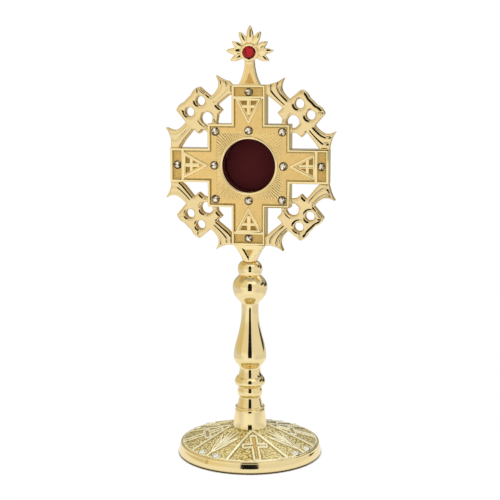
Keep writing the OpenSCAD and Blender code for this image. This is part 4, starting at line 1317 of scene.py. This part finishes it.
def foot_stone_places():
    tilt = math.atan(DOME_SLOPE)
    places = []
    for k in range(PANEL_COUNT):
        for side in (-1, 1):
            angle = FOOT_TURN - 90 + (k + 0.5) * 90 + side * STONE_ANGLE
            places.append(((*around(FOOT_STONE_R, angle), dome_z(FOOT_STONE_R)),
                           (*around(math.sin(tilt), angle), math.cos(tilt))))
    return places


def build_all_stones():
    ruby_place = ((0, RUBY_Y, HEAD_Z + FINIAL_V), FORWARD)
    build_stones("head_crystals", "crystals", head_stone_places(), CRYSTAL_D, CLEAR, "crystal", HEAD_FACETS)
    build_stones("foot_crystals", "foot_stones", foot_stone_places(), FOOT_STONE_D, PALE, "crystal",
                 FOOT_FACETS, FOOT_SPOT)
    build_stones("finial_ruby", "finial_stone", [ruby_place], RED_STONE_D, RED, "red_stone", HEAD_FACETS)


# Relic window

# Heights of the pane and the bezel, forward from the middle of the head's depth
PANE_BACK = 0.2
PANE_FRONT = 1.7
BEAD_BASE = 3.72
BEAD_TOP = 4.4
BEZEL_TUBE_R = 14.1
# Velvet lining of the chamber: its radii inside, at its rolled ends and outside, and its length
LINING_IN_R = 13.98
LINING_ROLL_R = 14.2
LINING_OUT_R = 14.43
LINING_LENGTH = 5.3
# Velvet pad: its plain side, the width and height of its rolled edge, its crown and its lumps
PAD_SIDE = 0.35
PAD_ROLL_W = 1.1
PAD_ROLL_H = 0.8
PAD_CROWN = 0.22
PAD_LUMPS = 0.03


def build_window():
    bead = ridge_section((BEZEL_R - WINDOW_R) / 2, BEAD_BASE, BEAD_TOP, 14, 2.0)
    bezel = joined([(BEZEL_TUBE_R, PANE_FRONT), (BEZEL_TUBE_R, -Y_FIELD)],
                   bead + [(BEZEL_R + WINDOW_R) / 2, 0], [(WINDOW_R, PANE_FRONT)])
    build_lathe("bezel_ring", "window_bezel", bezel, [POLISHED], "polished_gold", facing_front, closed=True)
    pane = build_lathe("window_pane", "window_glass", bevelled(PANE_R, PANE_BACK, PANE_FRONT, 0.2, 0.15),
                       [GLASS], "window_glass", facing_front, 120)
    # The pane lets the studio's light straight through to the velvet, which keeps the window free of grain
    pane.visible_shadow = False
    pane.visible_diffuse = False
    lining = [(LINING_IN_R, 0.05), (LINING_ROLL_R, -0.1), (LINING_OUT_R, 0.0),
              (LINING_OUT_R, LINING_LENGTH), (LINING_ROLL_R, LINING_LENGTH + 0.18),
              (LINING_IN_R, LINING_LENGTH + 0.05)]
    build_lathe("velvet_lining", "velvet_sleeve", lining, [VELVET], "velvet", facing_back, 120, True, 50)


def build_pad():
    """Velvet pad of the door: a crowned cushion with a rolled edge and a slightly uneven nap."""
    count, flat_r = 144, PAD_R - PAD_ROLL_W
    rng = np.random.default_rng(7)
    waves = rng.uniform(0, FULL_TURN, 6)
    edge = [(flat_r + PAD_ROLL_W * math.cos(t), PAD_SIDE + PAD_ROLL_H * math.sin(t))
            for t in np.linspace(0.2, math.pi / 2, 7)]
    crown = [(r, PAD_SIDE + PAD_ROLL_H + PAD_CROWN * (1 - (r / flat_r) ** 2))
             for r in np.linspace(flat_r - 0.3, 0.4, 40)]
    points, faces = lathe(joined([(PAD_R, 0.0), (PAD_R, PAD_SIDE)], edge, crown), count)
    faces += [list(range(len(points) - count, len(points))), list(range(count))[::-1]]
    turn = np.arctan2(points[:, 1], points[:, 0])
    lump = np.sin(np.outer(turn, np.arange(2, 8)) + waves).mean(axis=1)
    points[:, 2] += np.where(points[:, 2] > 1.0, PAD_LUMPS * lump, 0.0) - DOOR_FRONT
    pad = Shape().add(facing_front(points), faces).piece(
        "velvet_cushion", [VELVET], "door", ["velvet_pad"], "velvet", 60)


# Back

SCREW_HEAD_R = 1.9
SCREW_LIFT = 1.0
SCREW_END = -4.5
# Heights of the hinge's knuckles from the window's middle: two on the capsule and one on the door
CAPSULE_KNUCKLES = ((2.6, 6.0), (-6.0, -2.6))
DOOR_KNUCKLE = (-2.4, 2.4)


def build_plate():
    outset, bevel = WALL + 0.05, 0.2
    flat, triangles = fill([cross_outline(outset + bevel), ring((0, 0), CAPSULE_R + 0.05, 144)])
    shape = Shape().add(on_head(flat, Y_BACK), triangles[:, ::-1])
    shape.add(*sweep(cross_outline(outset), [(0.0, Y_PLATE), (0.0, Y_BACK - bevel), (bevel, Y_BACK)]))
    shape.piece("back_cover", [SATIN], replaces=["back_plate"])


def build_screws():
    dome = [(SCREW_HEAD_R * math.cos(t), 0.2 + (SCREW_LIFT - 0.2) * math.sin(t))
            for t in np.linspace(0.1, math.pi / 2, 9)[:-1]]
    points, faces = lathe([(0.0, SCREW_END), (1.0, SCREW_END), (1.0, 0.0), (SCREW_HEAD_R, 0.02),
                           (SCREW_HEAD_R, 0.2)] + dome + [(0.0, SCREW_LIFT)], 40)
    shape = Shape()
    for k in range(4):
        u, v = turned_way([(0, SCREW_V)], k)[0]
        shape.add(facing_back(points) + [u, Y_BACK, v], faces)
    shape.piece("cover_screws", [STEEL], replaces=["plate_screws"], slot="steel", sharp=40)


def bar(xs, ys, zs):
    """Points and faces of a block, with heights counted from the window's middle."""
    corners = [(x, y, HEAD_Z + z) for x in xs for y in ys for z in zs]
    return corners, [[0, 1, 3, 2], [4, 6, 7, 5], [0, 4, 5, 1], [2, 3, 7, 6], [0, 2, 6, 4], [1, 5, 7, 3]]


def at_hinge(points):
    return points + [HINGE_X, HINGE_Y, HEAD_Z]


def knuckle(low, high):
    points, faces = lathe(bevelled(KNUCKLE_R, low, high, 0.15, 0.15), 48)
    return at_hinge(points), faces


def build_capsule():
    points, faces = lathe([
        (CHAMBER_R, -0.15), (PANE_R + 0.05, -0.15), (PANE_R + 0.05, -1.7), (CAPSULE_R, -1.7),
        (CAPSULE_R, Y_BACK), (FLANGE_R, Y_BACK), (FLANGE_R, FLANGE_BACK - 0.25),
        (FLANGE_R - 0.25, FLANGE_BACK), (CHAMBER_R, FLANGE_BACK), (CHAMBER_R, 0.0)], 160, closed=True)
    shape = Shape().add(facing_back(points), faces)
    left, right = HINGE_X - KNUCKLE_R, HINGE_X + KNUCKLE_R
    shape.add(*bar((left, HINGE_X + 4.2), (Y_BACK, FLANGE_BACK), (-6, 6)))
    for heights in CAPSULE_KNUCKLES:
        shape.add(*knuckle(*heights))
        shape.add(*bar((left, right), (Y_BACK, HINGE_Y), heights))
    shape.piece("relic_capsule_shell", [SATIN], replaces=["relic_capsule"], slot="satin_gold")


def build_door():
    def at(across, up):
        return DOOR_R * across, DOOR_T + DOOR_CROWN * up

    crown = curve((DOOR_R, DOOR_T - 0.2), (DOOR_R - 0.1, DOOR_T + 0.1), at(0.86, 0.6), at(0.7, 0.72), 12)
    middle = curve(at(0.68, 0.66), at(0.5, 0.9), at(0.3, 1), at(0, 1), 12)
    points, faces = lathe(joined([(0, 0), (DOOR_R - 0.15, 0), (DOOR_R, 0.15)], crown, middle), 160)
    leaf = (DOOR_FRONT, DOOR_FRONT + DOOR_T)
    shape = Shape().add(facing_back(points + [0, 0, DOOR_FRONT]), faces)
    shape.add(*bar((HINGE_X, -DOOR_R * 0.8), leaf, DOOR_KNUCKLE))
    shape.add(*bar((DOOR_R * 0.9, DOOR_R + 2), leaf, (-2.5, 2.5)))
    shape.add(*knuckle(*DOOR_KNUCKLE))
    shape.piece("rear_door_leaf", [POLISHED], "door", ["rear_door"])
    build_lathe("door_pin", "hinge_pin", bevelled(PIN_R, -6.3, 6.3, 0.3 * PIN_R, 0.2), [SATIN],
                "satin_gold", at_hinge, 32)


# Rod and its fastenings, under the foot

THREAD_PITCH = 0.7
THREAD_TURNS = 7
NUT_FLAT_R = 3.5
NUT_CORNER_R = 4.1
NUT_FACE_R = 3.45
NUT_BEVEL = 0.35


def hexagonal(points):
    """Turned points drawn in to the flats of a nut."""
    away = np.hypot(points[:, 0], points[:, 1])
    corner = np.arctan2(points[:, 1], points[:, 0]) % (math.pi / 3) - math.pi / 6
    share = np.minimum(away, NUT_FLAT_R / np.cos(corner)) / away
    return points * np.stack([share, share, np.ones(len(share))], axis=1)


def build_fastenings():
    def heights(source):
        return (corner[2] for corner in node_box(source))

    low, high = heights("tie_rod")
    thread = [(0.0, low), (ROD_R - 0.5, low)]
    for k in range(THREAD_TURNS):
        thread += [(ROD_R - 0.3, low + 0.15 + k * THREAD_PITCH),
                   (ROD_R, low + 0.15 + (k + 0.5) * THREAD_PITCH)]
    thread += [(ROD_R - 0.02, low + 0.3 + THREAD_TURNS * THREAD_PITCH), (ROD_R - 0.02, high), (0.0, high)]
    build_lathe("threaded_rod", "tie_rod", thread, [STEEL], "steel", count=40)
    low, high = heights("rod_washer")
    r = node_box("rod_washer")[1][0]
    washer = [(ROD_HOLE_R, low), (r - 0.15, low), (r, low + 0.15), (r, high - 0.1), (r - 0.1, high),
              (ROD_HOLE_R, high)]
    build_lathe("clamp_washer", "rod_washer", washer, [STEEL], "steel", count=72, closed=True)
    low, high = heights("rod_nut")
    nut = [(NUT_FACE_R, low), (NUT_CORNER_R, low + NUT_BEVEL), (NUT_CORNER_R, high - NUT_BEVEL),
           (NUT_FACE_R, high), (ROD_HOLE_R, high), (ROD_HOLE_R, low)]
    build_lathe("clamp_nut", "rod_nut", nut, [STEEL], "steel", hexagonal, 96, True)


# Studio: angles in degrees, azimuths from the front towards the right, and places in metres

CAMERA_AZIMUTH = 10.66
CAMERA_PITCH = 9.01
CAMERA_AWAY = 0.58906
CAMERA_HEIGHT = 0.20027
CAMERA_LENS = 83.82
CAMERA_SENSOR = 36.0
# Dark card between the camera and the object
CARD_AZIMUTH = 10.0
CARD_AWAY = 0.20
CARD_HALF = 0.046
CARD_LOW = 0.013
CARD_HIGH = 0.085
CARD_TONES = (0.012, 0.012, 0.012), (0.008, 0.008, 0.008)
FLOOR_R = 0.5
FLOOR_TONES = (0.93, 0.93, 0.92), (0.90, 0.90, 0.89)
# Light of the floor in mirrors, its share near the foot, which paints the foot's shadow, and what it loses
# far aside, which paints shade
FLOOR_LIGHT = 1.04
FLOOR_NEAR = 0.92
FLOOR_ASIDE = 0.24
# Where that light changes: reaches near the foot and far aside, and angles aside
NEAR_REACH = (0.085, 0.115)
ASIDE_REACH = (0.10, 0.18)
ASIDE_ANGLES = (math.radians(25), math.radians(55))
TENT_LIGHT = 0.86
# How much brighter the tent is for rays that no polished surface mirrors
MATT_LIGHT = 1.35
TENT_TINT = (1.0, 0.99, 0.96)
WARM_TINT = (1.0, 0.90, 0.60)
WHITE = (1.0, 1.0, 1.0)
# Sectors of the tent: azimuth, half the width, and softness
AHEAD = (-5.0, 128.0, 8.0)
FACING = (5.0, 62.0, 12.0)
TABLE_AHEAD = (-5.0, 45.0, 12.0)
LEFT = (-100.0, 34.0, 6.0)
WARM_LEFT = (-90.0, 55.0, 30.0)
# Elevations between which the tent changes
TABLE_EDGE = (-4, 4)
TABLE_FADE = (-1, 6)
HIGH = (28, 46)
ZENITH = (60, 74)
# Patches of the tent: azimuth, half the width, elevation, half the height, and softness
SOFTBOX = (28.0, 40.0, 49.0, 10.0, 4.0)
CAMERA_SLIT = (10.0, 13.5, 23.0, 24.5, 1.5)
DARK_RIGHT = (110.0, 18.0, 21.5, 8.0, 3.0)
DARK_FAR_RIGHT = (138.0, 18.0, 4.0, 8.0, 3.0)
BEHIND_RIGHT = (174.0, 13.0, -4.0, 12.0, 4.0)
LEFT_STRIP = (-62.0, 2.6, 8.0, 22.0, 1.2)


def build_world():
    """A white tent, dimmer on the left, behind, high up aside and at the zenith.

    It is brighter overhead, towards the table ahead and in a softbox, and dark in a slit for
    the camera and in patches on the right. The camera itself sees plain white."""
    world = bpy.data.worlds.new("studio")
    bpy.context.scene.world = world
    g = Graph(world, "Generated")
    azimuth, elevation = g.azimuth(), g.maths("ARCSINE", g.axes()[2])

    def above(low, high, *ends, style="SMOOTHSTEP"):
        return g.spread(elevation, math.radians(low), math.radians(high), *ends, style=style)

    def within(value, middle, half, soft):
        off = g.size(g.minus(value, math.radians(middle)))
        return g.spread(off, math.radians(half - soft), math.radians(half + soft), 1.0, 0.0, "SMOOTHSTEP")

    def patch(across, half_across, up, half_up, soft):
        return g.times(within(azimuth, across, half_across, soft), within(elevation, up, half_up, soft))

    def outside(part):
        return g.minus(1.0, part)

    above_table, high = above(*TABLE_EDGE), above(*HIGH)
    ahead, left = within(azimuth, *AHEAD), within(azimuth, *LEFT)
    behind = g.times(outside(ahead), above_table, outside(high))
    aside = g.times(ahead, outside(within(azimuth, *FACING)))
    table = g.times(within(azimuth, *TABLE_AHEAD), above(*TABLE_FADE, 1.0, 0.0, style="LINEAR"))
    behind_right = patch(*BEHIND_RIGHT)
    dark_right = g.most(patch(*DARK_RIGHT), patch(*DARK_FAR_RIGHT))
    # Parts with the share of light that they lose, then with the light that they add, then the dark ones
    light = TENT_LIGHT
    for part, share in ((left, 0.17), (behind, 0.5), (g.times(high, aside), 0.35), (above(*ZENITH), 0.45)):
        light = g.times(light, outside(g.times(part, share)))
    for part, gain in ((table, 0.17), (g.times(outside(ahead), high), 0.42), (patch(*SOFTBOX), 0.42)):
        light = g.plus(light, g.times(part, gain))
    for part, share in ((behind_right, 0.5), (patch(*LEFT_STRIP), 0.35), (dark_right, 0.93),
                        (patch(*CAMERA_SLIT), 0.985)):
        light = g.times(light, outside(g.times(part, share)))

    path = g.node("ShaderNodeLightPath").outputs
    seen = path["Is Camera Ray"]
    light = g.times(light, g.spread(path["Is Glossy Ray"], 0.0, 1.0, MATT_LIGHT, 1.0))
    warm = g.most(g.times(within(azimuth, *WARM_LEFT), above_table), behind_right)
    g.show(g.node("ShaderNodeBackground", Color=g.blend(seen, g.blend(warm, TENT_TINT, WARM_TINT), WHITE),
                  Strength=g.plus(g.times(light, outside(seen)), seen)), "ShaderNodeOutputWorld")


def build_floor():
    """A pale floor that glows near white to the camera and in mirrors, and is matt under the foot and for
    other rays. In mirrors its glow is dimmer near the foot, a painted shadow of the foot, and far aside, a
    painted shade.
    """
    made = bpy.data.materials.new("pale floor")
    g = Graph(made)
    matt = g.node("ShaderNodeBsdfDiffuse", Color=g.blend(g.noise(30), *FLOOR_TONES))
    path = g.node("ShaderNodeLightPath").outputs
    camera = path["Is Camera Ray"]
    away = g.node("ShaderNodeVectorMath", setting=("operation", "LENGTH"), Vector=g.place).outputs["Value"]
    aside = g.spread(g.size(g.azimuth()), *ASIDE_ANGLES)
    dim = g.times(aside, g.spread(away, *ASIDE_REACH, 0.0, FLOOR_ASIDE))
    level = g.most(g.minus(g.spread(away, *NEAR_REACH, FLOOR_NEAR, 1.0), dim), camera)
    white = g.node("ShaderNodeEmission", Strength=g.times(level, FLOOR_LIGHT))
    seen = g.most(g.times(camera, 0.95), path["Is Glossy Ray"])
    past_foot = g.spread(away, (FOOT_R + 0.1) * MM, (FOOT_R + 0.9) * MM)
    g.show(g.node("ShaderNodeMixShader", g.times(seen, past_foot), matt.outputs[0], white.outputs[0]))
    points = [(x, y, 0.0) for x, y in ring((0, 0), FLOOR_R, 96)]
    placed("floor", new_mesh("floor", points, [list(range(len(points)))], [made]))


def build_card():
    """The dark gap in the tent's front, below the horizon, seen only in polished surfaces."""
    made = bpy.data.materials.new("dark card")
    g = Graph(made)
    g.show(g.node("ShaderNodeEmission", Color=g.blend(g.noise(30), *CARD_TONES), Strength=1.0))
    middle, along = around(CARD_AWAY, CARD_AZIMUTH - 90), around(CARD_HALF, CARD_AZIMUTH)
    corners = [(*(middle + side * along), z) for side, z in
               ((-1, CARD_LOW), (1, CARD_LOW), (1, CARD_HIGH), (-1, CARD_HIGH))]
    card = placed("dark card", new_mesh("dark card", corners, [[0, 1, 2, 3]], [made]))
    card.visible_camera = False
    card.visible_diffuse = False
    card.visible_shadow = False


def build_camera():
    data = bpy.data.cameras.new("camera")
    data.lens = CAMERA_LENS
    data.sensor_width = CAMERA_SENSOR
    camera = placed("camera", data)
    camera.location = (*around(CAMERA_AWAY, CAMERA_AZIMUTH - 90), CAMERA_HEIGHT)
    camera.rotation_euler = (math.radians(90 - CAMERA_PITCH), 0.0, math.radians(CAMERA_AZIMUTH))
    bpy.context.scene.camera = camera


for build in (build_foot, build_stem, build_head, build_ornaments, build_finial, build_bracket,
              build_all_stones, build_window, build_pad, build_plate, build_screws, build_capsule,
              build_door, build_fastenings, build_world, build_floor, build_card, build_camera):
    build()
bpy.context.scene.view_settings.view_transform = "Standard"
